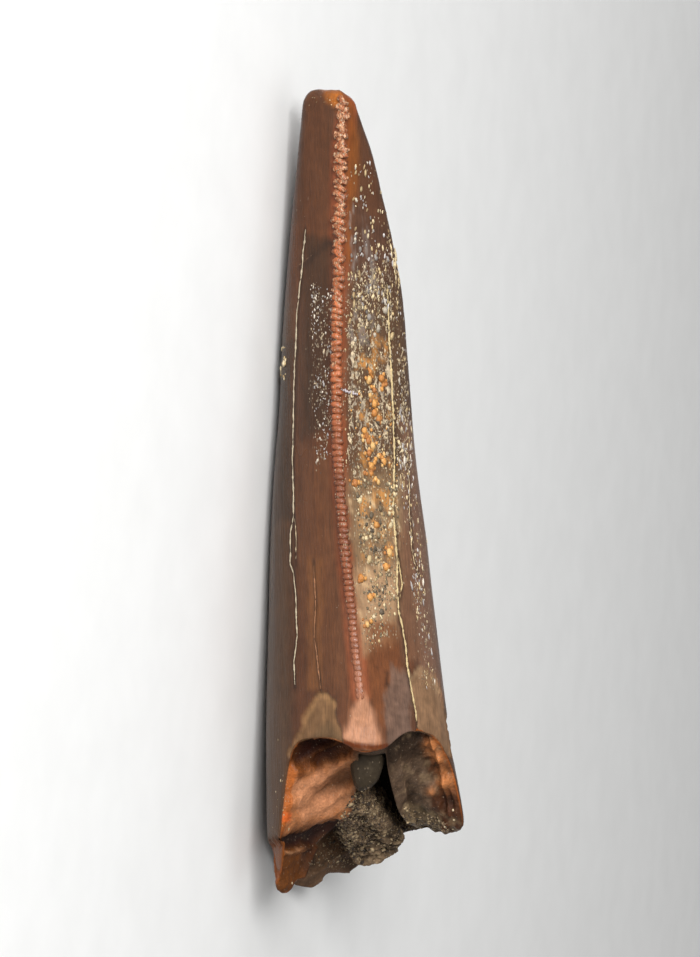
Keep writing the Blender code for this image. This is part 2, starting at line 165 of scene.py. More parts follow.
# Colours are mixed as the screen shows them, so they are shown without a film curve.
bpy.context.scene.view_settings.view_transform = "Standard"


def seen(points):
    """Where tooth points are seen in the picture, as (x, y)."""
    ray = np.asarray(points, float) - eye
    away = ray @ forward
    x = PICTURE[0] / 2 + PICTURE_SCALE * (ray @ right) / away
    y = PICTURE[1] / 2 + PICTURE_SCALE * (ray @ down) / away
    return np.stack([x, y], axis=-1)


def sight(x, y):
    """Direction from the eye through a place in the picture."""
    across = (x - PICTURE[0] / 2) / PICTURE_SCALE
    lower = (y - PICTURE[1] / 2) / PICTURE_SCALE
    return Vector(forward + right * across + down * lower)


print("lens", round(camera.data.lens, 1), "mm, camera", np.round(to_world(eye), 3))

# %% [markdown]
# ## Two ways to describe a rough surface
#
# `curve` draws a smooth line through a few measured knots, and `lumps` gives a smooth random field
# of any grain size. Nearly every form below is a curve plus some lumps.

# %% Curves and lumps
def curve(knots, where, column=1):
    """Smooth curve through knots, with no overshoot between them."""
    table = np.array(knots, float)
    at, value = table[:, 0], table[:, column]
    where = np.clip(np.asarray(where, float), at[0], at[-1])
    step = np.diff(at)
    slope = np.diff(value) / step
    tangent = np.zeros_like(value)
    tangent[0], tangent[-1] = slope[0], slope[-1]
    product = slope[:-1] * slope[1:]
    same_way = product > 0
    total = np.where(same_way, slope[:-1] + slope[1:], 1.0)
    tangent[1:-1] = np.where(same_way, 2 * product / total, 0.0)
    i = np.clip(np.searchsorted(at, where, side="right") - 1, 0, len(step) - 1)
    f = (where - at[i]) / step[i]
    rise = value[i] * (1 + 2 * f) * (1 - f) ** 2 + value[i + 1] * f * f * (3 - 2 * f)
    return rise + step[i] * f * (1 - f) * (tangent[i] * (1 - f) - tangent[i + 1] * f)


def smooth_step(x):
    x = np.clip(x, 0, 1)
    return x * x * (3 - 2 * x)


def bump(x, centre, width):
    return np.exp(-(((x - centre) / width) ** 2))


def lumps(points, size, seed=0):
    """Smooth random field from -1 to 1, with lumps of a size in millimetres along each axis."""
    q = np.asarray(points, float) / np.asarray(size, float)
    cell = np.floor(q).astype(np.int64)
    f = smooth_step(q - cell)
    total = np.zeros(q.shape[:-1])
    for corner in itertools.product((0, 1), repeat=3):
        c = cell + np.array(corner)
        code = c[..., 0] * 73856093 ^ c[..., 1] * 19349663 ^ c[..., 2] * 83492791 ^ seed * 2654435
        code = (code ^ (code >> 13)) * 1274126177
        value = ((code >> 8) & 0xFFFF) / 32768.0 - 1
        weight = np.prod(np.where(np.array(corner), f, 1 - f), axis=-1)
        total += value * weight
    return total


def rough_lumps(points, size, seed=0):
    """Three layers of lumps, each finer and lower than the one before."""
    size = np.asarray(size, float)
    layers = [lumps(points, size / 2**k, seed + k) / 2**k for k in range(3)]
    return sum(layers) / 1.75


# %% [markdown]
# ## The crown's form
#
# These are the same outlines as the solid's: what the two flanks and the back edge do along the
# length, and the depth of the blade. `place` runs once around a section, from the mesial edge (-1)
# over the lingual face to the distal edge (0) and over the labial face to the mesial edge (1).

# %% Outlines of the crown
LINGUAL_OUTLINE = [
    (0, -4.6), (6, -5.25), (16, -6.25), (26, -6.95), (31, -7.15), (41, -7.9), (51, -8.25),
    (66, -8.5), (82, -8.3),
]
LABIAL_OUTLINE = [
    (0, 0.2), (3, 1.0), (6, 2.1), (11, 3.4), (16, 4.55), (21, 5.4), (28, 6.05),
    (36, 6.7), (46, 7.95), (56, 9.1), (66, 10.3), (71, 11.25), (75, 11.8), (82, 11.6),
]
DISTAL_EDGE = [
    (0, -0.7), (6, -0.85), (16, -1.07), (29, -1.35), (36, -1.28), (46, -0.68), (56, 0.32),
    (64, 1.05), (82, 1.3),
]
MESIAL_EDGE = [(0, -2.0), (20, -1.4), (50, -0.6), (82, 0.0)]
DISTAL_HOLLOW = [(0, 0.0), (38, 1.3), (82, 0.0)]
BLADE_DEPTH = [
    (0, 4.9), (4, 8.0), (10, 11.8), (20, 16.6), (30, 20.7), (45, 26.0), (60, 30.6), (82, 35.4),
]
LINGUAL_THICKEST = 0.39
LABIAL_THICKEST = 0.47
DISTAL_ROUNDNESS = 2.0
MESIAL_ROUNDNESS = 2.1
FLUTE_DEPTH = 0.031
FLUTE_AT = 0.16
FLUTE_WIDTH = 0.08


def outside(place, length):
    """(length, depth, side) of the crown's outer surface, without its serrations."""
    place, length = np.broadcast_arrays(np.asarray(place, float), np.asarray(length, float))
    share = np.abs(place)
    labial = place >= 0
    thickest = np.where(labial, LABIAL_THICKEST, LINGUAL_THICKEST)
    front = np.clip(1 - share / thickest, 0, 1)
    back = np.clip((share - thickest) / (1 - thickest), 0, 1)
    fullness = 1 - front**DISTAL_ROUNDNESS - back**MESIAL_ROUNDNESS
    fullness = fullness - FLUTE_DEPTH * bump(share, FLUTE_AT, FLUTE_WIDTH)
    fullness = np.where(share == 0, 0.0, fullness)
    edge = curve(DISTAL_EDGE, length)
    middle = edge + (curve(MESIAL_EDGE, length) - edge) * share
    outline = np.where(labial, curve(LABIAL_OUTLINE, length), curve(LINGUAL_OUTLINE, length))
    chord = edge + (curve(MESIAL_EDGE, length) - edge) * thickest
    side = middle + (outline - chord) * fullness
    depth = curve(DISTAL_HOLLOW, length) + curve(BLADE_DEPTH, length) * share
    return np.stack([length, depth, side], axis=-1)


# %% [markdown]
# The serrated strip is a low ridge along each edge. Below its last denticle the back edge flattens
# into a smooth triangle that meets the break.

# %% The serrated strip and the triangle
FIRST_DENTICLE = 1.9
LAST_DENTICLE = 62.4
PITCH_AT_TIP = 0.70
PITCH_AT_BASE = 0.55
DENTICLE_HEIGHT = 0.42
DENTICLE_HALF_WIDTH = 0.62
STRIP_LIFT = 0.15
MESIAL_EDGE_ENDS = 49.0
TRIANGLE_HALF_WIDTH = 2.1
TRIANGLE_ENDS = 68.1
TRIANGLE_FLATNESS = 0.75


def strip_half_width(length):
    grow = np.clip((length - LAST_DENTICLE) / (TRIANGLE_ENDS - LAST_DENTICLE), 0, 1)
    narrow_tip = np.clip(0.5 + length / 8, 0, 1)
    return DENTICLE_HALF_WIDTH * narrow_tip * (1 - grow) + TRIANGLE_HALF_WIDTH * grow


def strip_share(length, labial):
    """How far along a face, as a share of the blade's depth, the strip of an edge reaches."""
    edge = curve(DISTAL_EDGE, length)
    outline = np.where(labial, curve(LABIAL_OUTLINE, length), curve(LINGUAL_OUTLINE, length))
    thickest = np.where(labial, LABIAL_THICKEST, LINGUAL_THICKEST)
    return strip_half_width(length) * thickest / (np.abs(outline - edge) * DISTAL_ROUNDNESS)


def crown(place, length):
    """Crown surface with the strips lifted and the triangle planed flat."""
    points = outside(place, length)
    share = strip_share(length, place >= 0)
    across = np.clip(np.abs(place) / share, 0, 1)
    first = outside(-strip_share(length, np.zeros_like(place, bool)), length)
    last = outside(strip_share(length, np.ones_like(place, bool)), length)
    f = (np.sign(place) * across + 1)[..., None] / 2
    flat = first * (1 - f) + last * f
    amount = TRIANGLE_FLATNESS * np.clip((length - LAST_DENTICLE) / 3, 0, 1) * (across < 1)
    points = points + (flat - points) * amount[..., None]
    distal = np.clip((LAST_DENTICLE + 1 - length) / 6, 0, 1)
    mesial = np.clip((MESIAL_EDGE_ENDS - length) / 4, 0, 1)
    points[..., 1] -= STRIP_LIFT * distal * (1 - across**2)
    behind = np.clip((1 - np.abs(place)) / share, 0, 1)
    points[..., 1] += STRIP_LIFT * mesial * (1 - behind**2)
    return points


# %% [markdown]
# ## The broken base
#
# The rim of the break is a scalloped arch at the front, with a prong on each side. From the rim
# the break runs in over the dentine to the mouth of the pulp cavity, which narrows to its roof
# inside the crown.

# %% Break and cavity
RIM = [
    (-1.0, 77.6), (-0.92, 77.8), (-0.84, 79.6), (-0.75, 79.6), (-0.67, 77.4), (-0.5, 75.2),
    (-0.38, 75.4), (-0.345, 77.6), (-0.31, 81.2), (-0.285, 80.9), (-0.255, 75.4), (-0.228, 70.2),
    (-0.2, 67.7), (-0.15, 67.0), (-0.083, 66.9), (-0.046, 67.2), (0.0, 68.1), (0.058, 67.9),
    (0.086, 67.2), (0.12, 66.4), (0.16, 65.9), (0.24, 66.1), (0.33, 67.6), (0.385, 69.3),
    (0.42, 72.4), (0.46, 74.6), (0.5, 74.6), (0.57, 74.1), (0.7, 73.4), (0.82, 73.5),
    (0.91, 75.0), (1.0, 77.6),
]
CAVITY_MOUTH = [
    (-1.0, 31.0, 0.0, 75.6), (-0.9, 30.2, -2.0, 76.4), (-0.8, 28.4, -3.9, 77.6),
    (-0.66, 25.4, -5.2, 76.6), (-0.5, 21.5, -5.3, 76.0), (-0.37, 17.5, -5.4, 77.2),
    (-0.32, 15.5, -5.4, 79.4), (-0.288, 15.3, -5.1, 79.2), (-0.27, 17.2, -3.8, 76.2),
    (-0.255, 18.0, -1.6, 74.1), (-0.24, 16.0, 0.1, 72.9), (-0.22, 12.0, 0.6, 71.1),
    (-0.18, 8.6, 0.8, 69.0),
    (-0.06, 6.8, 0.9, 67.7), (0.0, 6.4, 2.1, 67.9), (0.06, 7.0, 3.5, 67.6),
    (0.18, 9.0, 3.8, 69.1), (0.28, 12.0, 4.35, 71.1), (0.36, 15.0, 5.0, 72.8),
    (0.43, 18.5, 6.0, 73.7), (0.53, 22.5, 6.9, 73.8), (0.7, 26.5, 6.1, 73.0),
    (0.85, 29.4, 3.9, 73.6), (1.0, 31.0, 0.0, 75.6),
]
CAVITY_MIDDLE = (15.8, 1.2)
CAVITY_ROOF = 48.0
CAVITY_HALF_SIZE = (10.4, 3.7)
CAVITY_SETTLES = 0.35
CAVITY_BLUNTNESS = 0.6
SCOOP = [
    (-1.0, 0.0), (-0.5, 0.2), (-0.3, 0.5), (-0.16, 2.4), (-0.05, 0.8), (0.0, 0.3),
    (0.06, 0.8), (0.2, 2.2), (0.4, 1.0), (0.6, 0.1), (1.0, 0.0),
]
SCOOP_SCALE = 2.6


def cavity_mouth(place):
    depth, side, length = (curve(CAVITY_MOUTH, place, column) for column in (1, 2, 3))
    return np.stack([length, depth, side], axis=-1)


def cavity_wall(place, f):
    """Wall of the pulp cavity, from its mouth (f = 0) to its roof (f = 1)."""
    mouth = cavity_mouth(place)
    narrow = (1 - f) ** CAVITY_BLUNTNESS
    turn = np.pi * place
    # The wall keeps clear of the broken face beside the lingual prong.
    beside_prong = bump(place, -0.3, 0.09)
    reach = CAVITY_HALF_SIZE[0] - 3.4 * beside_prong
    depth = CAVITY_MIDDLE[0] - reach * narrow * np.cos(turn)
    side = CAVITY_MIDDLE[1] + CAVITY_HALF_SIZE[1] * narrow * np.sin(turn)
    settled = smooth_step(f / (CAVITY_SETTLES + 0.25 * beside_prong))
    length = mouth[..., 0] + (CAVITY_ROOF - mouth[..., 0]) * f
    depth = mouth[..., 1] * (1 - settled) + depth * settled
    side = mouth[..., 2] * (1 - settled) + side * settled
    return np.stack([length, depth, side], axis=-1)


# %% [markdown]
# ## One closed skin for the whole tooth
#
# The tooth is one piece, so it gets one closed skin, like a sock: from the tip down the crown, over
# the rim, across the break and up into the cavity. A flat grid is the start. Its columns become
# places around the section, closer together on the serrated edge, and its rows become steps along
# the sock. The two long borders of the grid then meet on the mesial edge, and are merged.

# %% A grid for the skin
COLUMNS = 420
TIP_COUNT = 10
CROWN_COUNT = 120
ROOT_COUNT = 34
BREAK_COUNT = 46
CAVITY_COUNT = 18
ROWS = TIP_COUNT + CROWN_COUNT + ROOT_COUNT + BREAK_COUNT + CAVITY_COUNT
BODY_STARTS = 1.5
ROOT_STARTS = 60.0

deselect()
bpy.ops.mesh.primitive_grid_add(x_subdivisions=COLUMNS, y_subdivisions=ROWS, size=2)
tooth = bpy.context.object
tooth.name = "tooth_skin"
flat = read_points(tooth)
column = (flat[:, 0] + 1) / 2 * COLUMNS
row = np.rint((flat[:, 1] + 1) / 2 * ROWS).astype(int)

# The columns lie close where the rim of the break climbs steeply along the length.
LINGUAL_COLUMNS = [(0, 0.0), (22, 0.055), (54, 0.19), (144, 0.35), (210, 1.0)]
LABIAL_COLUMNS = [(0, 0.0), (22, 0.055), (64, 0.22), (148, 0.47), (210, 1.0)]
offset = np.rint(column) - COLUMNS // 2
place = np.where(
    offset > 0, curve(LABIAL_COLUMNS, np.abs(offset)), -curve(LINGUAL_COLUMNS, np.abs(offset)),
)

# %% Rows of the skin
rim_row = TIP_COUNT + CROWN_COUNT + ROOT_COUNT
mouth_row = rim_row + BREAK_COUNT
ROUNDING = ((-0.014, 0.25), (0, 0.5), (0.014, 0.25))
rim_length = sum(curve(RIM, place + step) * share for step, share in ROUNDING)
# Both prongs end in a lobe, which is added further down, so the rim stops short there.
rim_length += 0.2 - 1.7 * bump(place, -0.303, 0.03) - 0.3 * bump(place, 0.5, 0.05)
body_f = np.clip((row - TIP_COUNT) / CROWN_COUNT, 0, 1)
root_f = np.clip((row - TIP_COUNT - CROWN_COUNT) / ROOT_COUNT, 0, 1)
length = BODY_STARTS + (ROOT_STARTS - BODY_STARTS) * body_f
length = length + (rim_length - length) * root_f
skin = crown(place, length)
print("rim from", round(rim_length.min(), 1), "to", round(rim_length.max(), 1), "mm from the tip")

# %% The blunt tip
# The first section is drawn in towards its middle. A knot gives the part of the tip's rows, the
# section's size there and its length.
TIP_KNOTS = [
    (0.0, 0.0, 0.2), (0.3, 0.34, 0.26), (0.6, 0.66, 0.46), (0.85, 0.9, 0.95),
    (1.0, 1.0, BODY_STARTS),
]
in_tip = row < TIP_COUNT
first_ring = skin[row == TIP_COUNT]
middle = first_ring.mean(axis=0)
along_tip = row / TIP_COUNT
shrink = curve(TIP_KNOTS, along_tip, 1)
drawn_in = middle + (skin - middle) * shrink[:, None]
drawn_in[:, 0] = curve(TIP_KNOTS, along_tip, 2)
skin = np.where(in_tip[:, None], drawn_in, skin)
# Wear has taken more off the labial side of the tip.
WORN_LENGTH = 3.2
UNWORN_SIDE = -3.2
near_tip = np.clip(1 - skin[:, 0] / WORN_LENGTH, 0, 1)
skin[:, 0] += 0.2 * near_tip * np.clip(skin[:, 2] - UNWORN_SIDE, -0.8, 4.0)
print("tip rows:", TIP_COUNT)

# %% Rows of the break and the cavity
break_f = np.clip((row - rim_row) / BREAK_COUNT, 0, 1)
mouth = cavity_mouth(place)
across_break = skin * (1 - break_f[:, None]) + mouth * break_f[:, None]
scoop = curve(SCOOP, place) * SCOOP_SCALE * np.sqrt(break_f) * (1 - break_f)
across_break[:, 0] -= scoop
# Both prongs end in a rounded lobe a little inside the outer face. Each has its height, and its
# middle and width around the section and across the break.
LOBES = [(2.1, -0.298, 0.037, 0.45, 0.36), (0.7, 0.52, 0.11, 0.35, 0.3)]
for high, around, wide, across, run in LOBES:
    lobe = high * bump(place, around, wide) * bump(break_f, across, run)
    across_break[:, 0] += lobe * smooth_step(break_f * 6)
cavity_f = np.clip((row - mouth_row) / CAVITY_COUNT, 0, 1)
in_break = (row > rim_row) & (row <= mouth_row)
skin = np.where(in_break[:, None], across_break, skin)
skin = np.where((row > mouth_row)[:, None], cavity_wall(place, cavity_f**1.3), skin)
inward = break_f * np.linalg.norm(crown(place, rim_length) - mouth, axis=1)

# %% Worn edges
# The rows near the rim are relaxed along their columns.
order = np.lexsort((column, row))
sheet = skin[order].reshape(ROWS + 1, COLUMNS + 1, 3)
RELAX_ROUNDS = 16
near_rim = bump(np.arange(ROWS + 1), rim_row + 1, 9)[1:-1, None, None]
for _ in range(RELAX_ROUNDS):
    sheet[1:-1] += near_rim * 0.25 * (sheet[2:] + sheet[:-2] - 2 * sheet[1:-1])
skin[order] = sheet.reshape(-1, 3)
print("skin:", len(skin), "points, rim on row", rim_row)

# %% [markdown]
# ## Where things are seen
#
# Chips, stains and broken layers are given as outlines in the picture. `in_outline` and `near_line`
# turn them into masks over the skin, with a soft or a ragged border.

# %% Masks from outlines
picture = seen(skin)
on_crown = row <= rim_row
facing = smooth_step((0.58 - np.abs(place)) / 0.14)
raggedness = rough_lumps(skin, (1.6, 0.8, 0.8), 11)


def distance_to(line, spots):
    """Distance of places in the picture from a line through points."""
    x, y = spots[:, 0], spots[:, 1]
    distance = np.full(len(x), np.inf)
    for (ax, ay), (bx, by) in zip(line, line[1:]):
        run = (bx - ax) ** 2 + (by - ay) ** 2
        t = np.clip(((x - ax) * (bx - ax) + (y - ay) * (by - ay)) / run, 0, 1)
        distance = np.minimum(distance, np.hypot(x - ax - t * (bx - ax), y - ay - t * (by - ay)))
    return distance


def with_border(inward, soft, ragged):
    """A mask from the distance inwards, with a border so many pixels soft and ragged."""
    return smooth_step((inward + (ragged * raggedness if ragged else 0)) / soft + 0.5)


def in_outline(outline, soft=4.0, ragged=0.0, spots=picture):
    """1 inside a closed outline in the picture and 0 outside it."""
    x, y = spots[:, 0], spots[:, 1]
    closed = outline + outline[:1]
    inside = np.zeros(len(x), bool)
    for (ax, ay), (bx, by) in zip(closed, closed[1:]):
        if ay != by:
            inside ^= ((ay > y) != (by > y)) & (x < ax + (y - ay) / (by - ay) * (bx - ax))
    distance = distance_to(closed, spots)
    return with_border(np.where(inside, distance, -distance), soft, ragged)


def near_line(line, width=2.0, soft=2.0, ragged=0.0):
    """1 along a line in the picture and 0 away from it."""
    return with_border(width / 2 - distance_to(line, picture), soft, ragged)


# %% Chips, cracks and the parts of the break, as outlines
LEFT_CHIP = [
    (319, 692), (312, 703), (303, 722), (286, 756), (346, 758), (336, 716), (334, 701), (326, 694),
]
RIGHT_CHIP = [
    (411, 676), (420, 668), (432, 672), (440, 690), (449, 722), (455, 760), (418, 734), (414, 705),
]
LILAC_PATCH = [(392, 664), (411, 676), (412, 740), (390, 748), (384, 720), (388, 690)]
PINK_TRIANGLE = [(361, 690), (354, 708), (341, 741), (362, 747), (385, 749), (374, 712)]
DISTAL_LINE = [
    (350, 101), (345, 125), (341, 150), (340, 200), (339, 250), (337.5, 300), (337, 350),
    (337, 400), (338, 450), (341, 500), (345, 550), (350, 600), (356, 650), (361, 694),
]
LEFT_CRACK = [
    (305.5, 229), (303, 266), (298, 315), (296, 366), (295, 399), (294, 433), (293, 457),
    (294, 516), (291, 532), (291, 564), (294, 572), (296, 596), (296, 620), (297, 636),
    (294, 660), (295, 688),
]
LEFT_STRAND = [(294, 516), (296, 540), (296, 564)]
SECOND_CRACK = [(314, 562), (316, 604), (314.5, 636), (317, 660), (321, 691)]
RIGHT_CRACK = [
    (387, 284), (389, 333), (391, 366), (392, 393), (392.5, 403), (394, 424), (395, 449),
    (395, 482), (394, 507), (396, 532), (398, 564), (397.4, 593), (399, 612), (402, 628),
    (404.6, 644), (407, 664), (410, 683), (415, 707), (418, 728),
]
RIGHT_STRAND = [(398, 556), (402, 585), (400, 600)]
FAR_CRACK = [(406.6, 456), (409, 482), (410, 516), (412, 548), (414, 561), (419, 577)]

shown_crown = facing * on_crown
chip = np.maximum(in_outline(LEFT_CHIP, 2.5, 5), in_outline(RIGHT_CHIP, 2.5, 6)) * shown_crown
triangle = in_outline(PINK_TRIANGLE, 9, 3) * shown_crown
print("chipped points:", int((chip > 0.5).sum()), "of", len(chip))

# %% [markdown]
# ## Relief
#
# Real enamel isn't perfectly smooth. It gets long, low waves and fine grooves along its length, the
# chips lie a little deeper, and the crust on the labial flank stands proud. The broken dentine has
# slanting ribs on the lingual side and rounded knobs on the labial side. All of it is moved along
# the surface's own normal.

# %% Normals of the skin
def grid_normals(points):
    """Outward normals, from the neighbours on the grid."""
    grid = points[order].reshape(ROWS + 1, COLUMNS + 1, 3)
    around = np.empty_like(grid)
    around[:, 1:-1] = grid[:, 2:] - grid[:, :-2]
    around[:, 0] = around[:, -1] = grid[:, 1] - grid[:, -2]
    along = np.gradient(grid, axis=0)
    normal = np.cross(around, along)
    normal /= np.maximum(np.linalg.norm(normal, axis=-1, keepdims=True), 1e-9)
    result = np.empty_like(points)
    result[order] = normal.reshape(-1, 3)
    return result


normals = grid_normals(skin)
middle_row = (row == TIP_COUNT + CROWN_COUNT // 2) & (np.abs(place - 0.4) < 0.02)
if normals[middle_row][:, 2].mean() < 0:
    normals = -normals
print("normals point outwards on the labial flank:", normals[middle_row][:, 2].mean() > 0)

# %% Relief of the crown
DUST_OUTLINE = [
    (352, 165), (372, 160), (404, 260), (408, 420), (404, 560), (394, 640), (364, 655),
    (356, 600), (350, 520), (345, 420), (346, 300),
]
dusty = in_outline(DUST_OUTLINE, 14, 6) * shown_crown
relief = 0.05 * lumps(skin, (9, 4, 4), 1) + 0.02 * lumps(skin, (5, 0.9, 0.9), 2)
relief += 0.008 * lumps(skin, (4, 0.4, 0.4), 3)
relief += 0.05 * dusty * rough_lumps(skin, 1.1, 4)
relief -= 0.2 * chip * (1 + 0.4 * rough_lumps(skin, 1.2, 5))
BARE_FROM = 75.9
bare = smooth_step((skin[:, 0] - BARE_FROM + 0.5 * raggedness) / 0.5)
bare *= smooth_step((0.37 - np.abs(place)) / 0.03) * (place < 0)
worn = smooth_step(1 - skin[:, 0] / 6)
relief += worn * 0.12 * rough_lumps(skin, 1.3, 6)
relief = np.where(on_crown, relief, 0)
print("relief of the crown in mm, up to", round(np.abs(relief).max(), 2))

# %% Ribs of the lingual face
x, y = picture[:, 0], picture[:, 1]
left_side = smooth_step((357 - x) / 6)
right_side = smooth_step((x - 385) / 6)
# Ribs run up to the right, so their height changes across that direction.
SLANT = (0.47, 0.88)
slant = SLANT[0] * x + SLANT[1] * y
along_slant = SLANT[1] * x - SLANT[0] * y
warp = 7 * rough_lumps(skin, 2.2, 21)


def slanted(width, run, seed):
    """Random field stretched along the ribs, its width and run in millimetres."""
    spots = np.stack([slant + warp, along_slant, 0 * slant], -1) / PIXELS_PER_MM
    return lumps(spots, (width, run, 1), seed)


ribs = 1.8 * (0.33 - np.abs(slanted(1.5, 7, 22))) + 0.28 * slanted(0.45, 3, 23)
LEFT_UNDER = [(279, 838), (294, 836), (318, 826), (346, 813), (336, 828), (312, 845), (277, 850)]
OVERHANG = [
    (300, 738), (358, 738), (356, 752), (336, 761), (318, 765), (301, 769), (294, 766), (292, 752),
]
LEDGE = [(277, 854), (294, 851), (311, 847)]
under = in_outline(LEFT_UNDER, 5, 4)
overhang = in_outline(OVERHANG, 7, 6) * left_side
ledge = near_line(LEDGE, 3, 2.5, 1)
prong = in_outline([(262, 850), (314, 846), (306, 874), (296, 900), (262, 900)], 5)
print("ribs in mm, up to", round(np.abs(ribs).max(), 2))

# %% Knobs and steps of the labial face
# where each knob is in the picture, its radius in pixels and its height in millimetres
KNOBS = [
    (434, 741, 6, 0.6), (439, 756, 6, 0.6), (446, 780, 7, 0.7), (431, 790, 5, 0.4),
    (429, 752, 5, 0.3), (443, 768, 4, 0.3), (424, 743, 4, 0.3), (452, 812, 6, 0.4),
    (445, 826, 5, 0.4),
]
knobs = sum(high * bump(np.hypot(x - cx, y - cy), 0, r) for cx, cy, r, high in KNOBS)
broken = 0.16 * rough_lumps(skin, 1.4, 24) + 0.04 * lumps(skin, 0.35, 25)
ROUGH_LIP = [(404, 804), (424, 808), (441, 818), (444, 832), (418, 830), (406, 822)]
rough_lip = in_outline(ROUGH_LIP, 6, 4)
steep_run = np.stack([(x - 0.25 * y) / PIXELS_PER_MM, y / 40, 0 * x], -1)
steep = 0.35 * (0.3 - np.abs(lumps(steep_run, (0.65, 1, 1), 28)))
print("knobs:", len(KNOBS))

# %% Relief of the break
left_ribs = (1 - 0.6 * under) * (1 - 0.75 * prong) * ribs
break_relief = left_side * (left_ribs - 0.55 * under - 0.7 * overhang + 0.3 * ledge) + broken
break_relief += right_side * (1.3 * knobs + 1.6 * steep + 0.28 * rough_lumps(skin, 0.7, 29))
break_relief += 0.3 * prong * rough_lumps(skin, 1.8, 46)
break_relief += 0.2 * rough_lip * rough_lumps(skin, 0.55, 26)
away_from_rim = smooth_step(inward / 1.0) * smooth_step((1 - break_f) / 0.12)
# Close to the rim the tooth is thin, so hollows stay shallow there.
break_relief = np.maximum(break_relief, -0.1 - 0.25 * inward)
relief = np.where(in_break, break_relief * away_from_rim, relief)
relief = np.where(row > mouth_row, 0.15 * rough_lumps(skin, 1.8, 27), relief)
skin = skin + normals * relief[:, None]
# Beside the lingual prong the enamel has come off in a ragged step, which carries on over the rim.
INWARD = np.array([0.0, 0.2, 0.98])
stepped = 0.6 * bare * np.where(in_break, 1 - away_from_rim, on_crown)
skin = skin + INWARD * stepped[:, None]
print("relief of the break in mm, up to", round(np.abs(break_relief).max(), 2))

# %% [markdown]
# The skin's resting spot is planed level with the floor, as the solid's is, and everything stays
# within the solid's box.

# %% Lay the skin on the floor
world = to_world(skin)
low, high = np.array(cad_low), np.array(cad_high)
BOX_MARGIN = 0.0003
world = np.clip(world, low - BOX_MARGIN, high + BOX_MARGIN)
world[:, 2] = np.maximum(world[:, 2], 0)
skin = to_tooth(world)
write_points(tooth, world)

# Each face takes the first material that one of its corners has: enamel, dentine or pulp wall.
kinds = np.where(row < rim_row, 0, np.where(row < mouth_row, 1, 2))
corner = np.empty(len(tooth.data.loops), np.int32)
tooth.data.loops.foreach_get("vertex_index", corner)
face_kind = kinds[corner].reshape(-1, 4).min(axis=1).astype(np.int32)
print("skin laid down, lowest point", round(world[:, 2].min() / MM, 2), "mm")


# %% [markdown]
# ## Colours
#
# The colours of a fossil come from the minerals it lay in, so they change from place to place. Each
# zone gets one colour and an outline, and the zones are laid over each other on the skin as a
# colour attribute. The materials then break them up with streaks, mottling and dust. A few zones
# are
# painted light and shade: highlights, sheen and shadows.

# %% Colour zones
def tint(red, green, blue):
    """A colour of the screen, 0 to 255, as the linear values that Blender mixes."""
    value = np.array([red, green, blue]) / 255
    return np.where(value <= 0.04045, value / 12.92, ((value + 0.055) / 1.055) ** 2.4)


def lay_colour(colours, mask, colour, strength=1.0):
    mask = (mask * strength)[:, None]
    return colours * (1 - mask) + np.asarray(colour) * mask


RED_BROWN = tint(102, 65, 45)
count = len(skin)
colours = np.tile(RED_BROWN, (count, 1))
side_share = np.abs(place)
streak = rough_lumps(skin, (22, 1.4, 1.4), 31)
colours = lay_colour(colours, smooth_step(0.5 + streak), tint(74, 52, 40), 0.7)
# The flanks are greyer towards the outline and on the faces turned away: a painted grazing sheen.
colours = lay_colour(colours, smooth_step((side_share - 0.24) / 0.2), tint(70, 57, 49), 0.85)
colours = lay_colour(colours, smooth_step(lumps(skin, (14, 5, 5), 32) - 0.2), tint(96, 74, 60), 0.6)

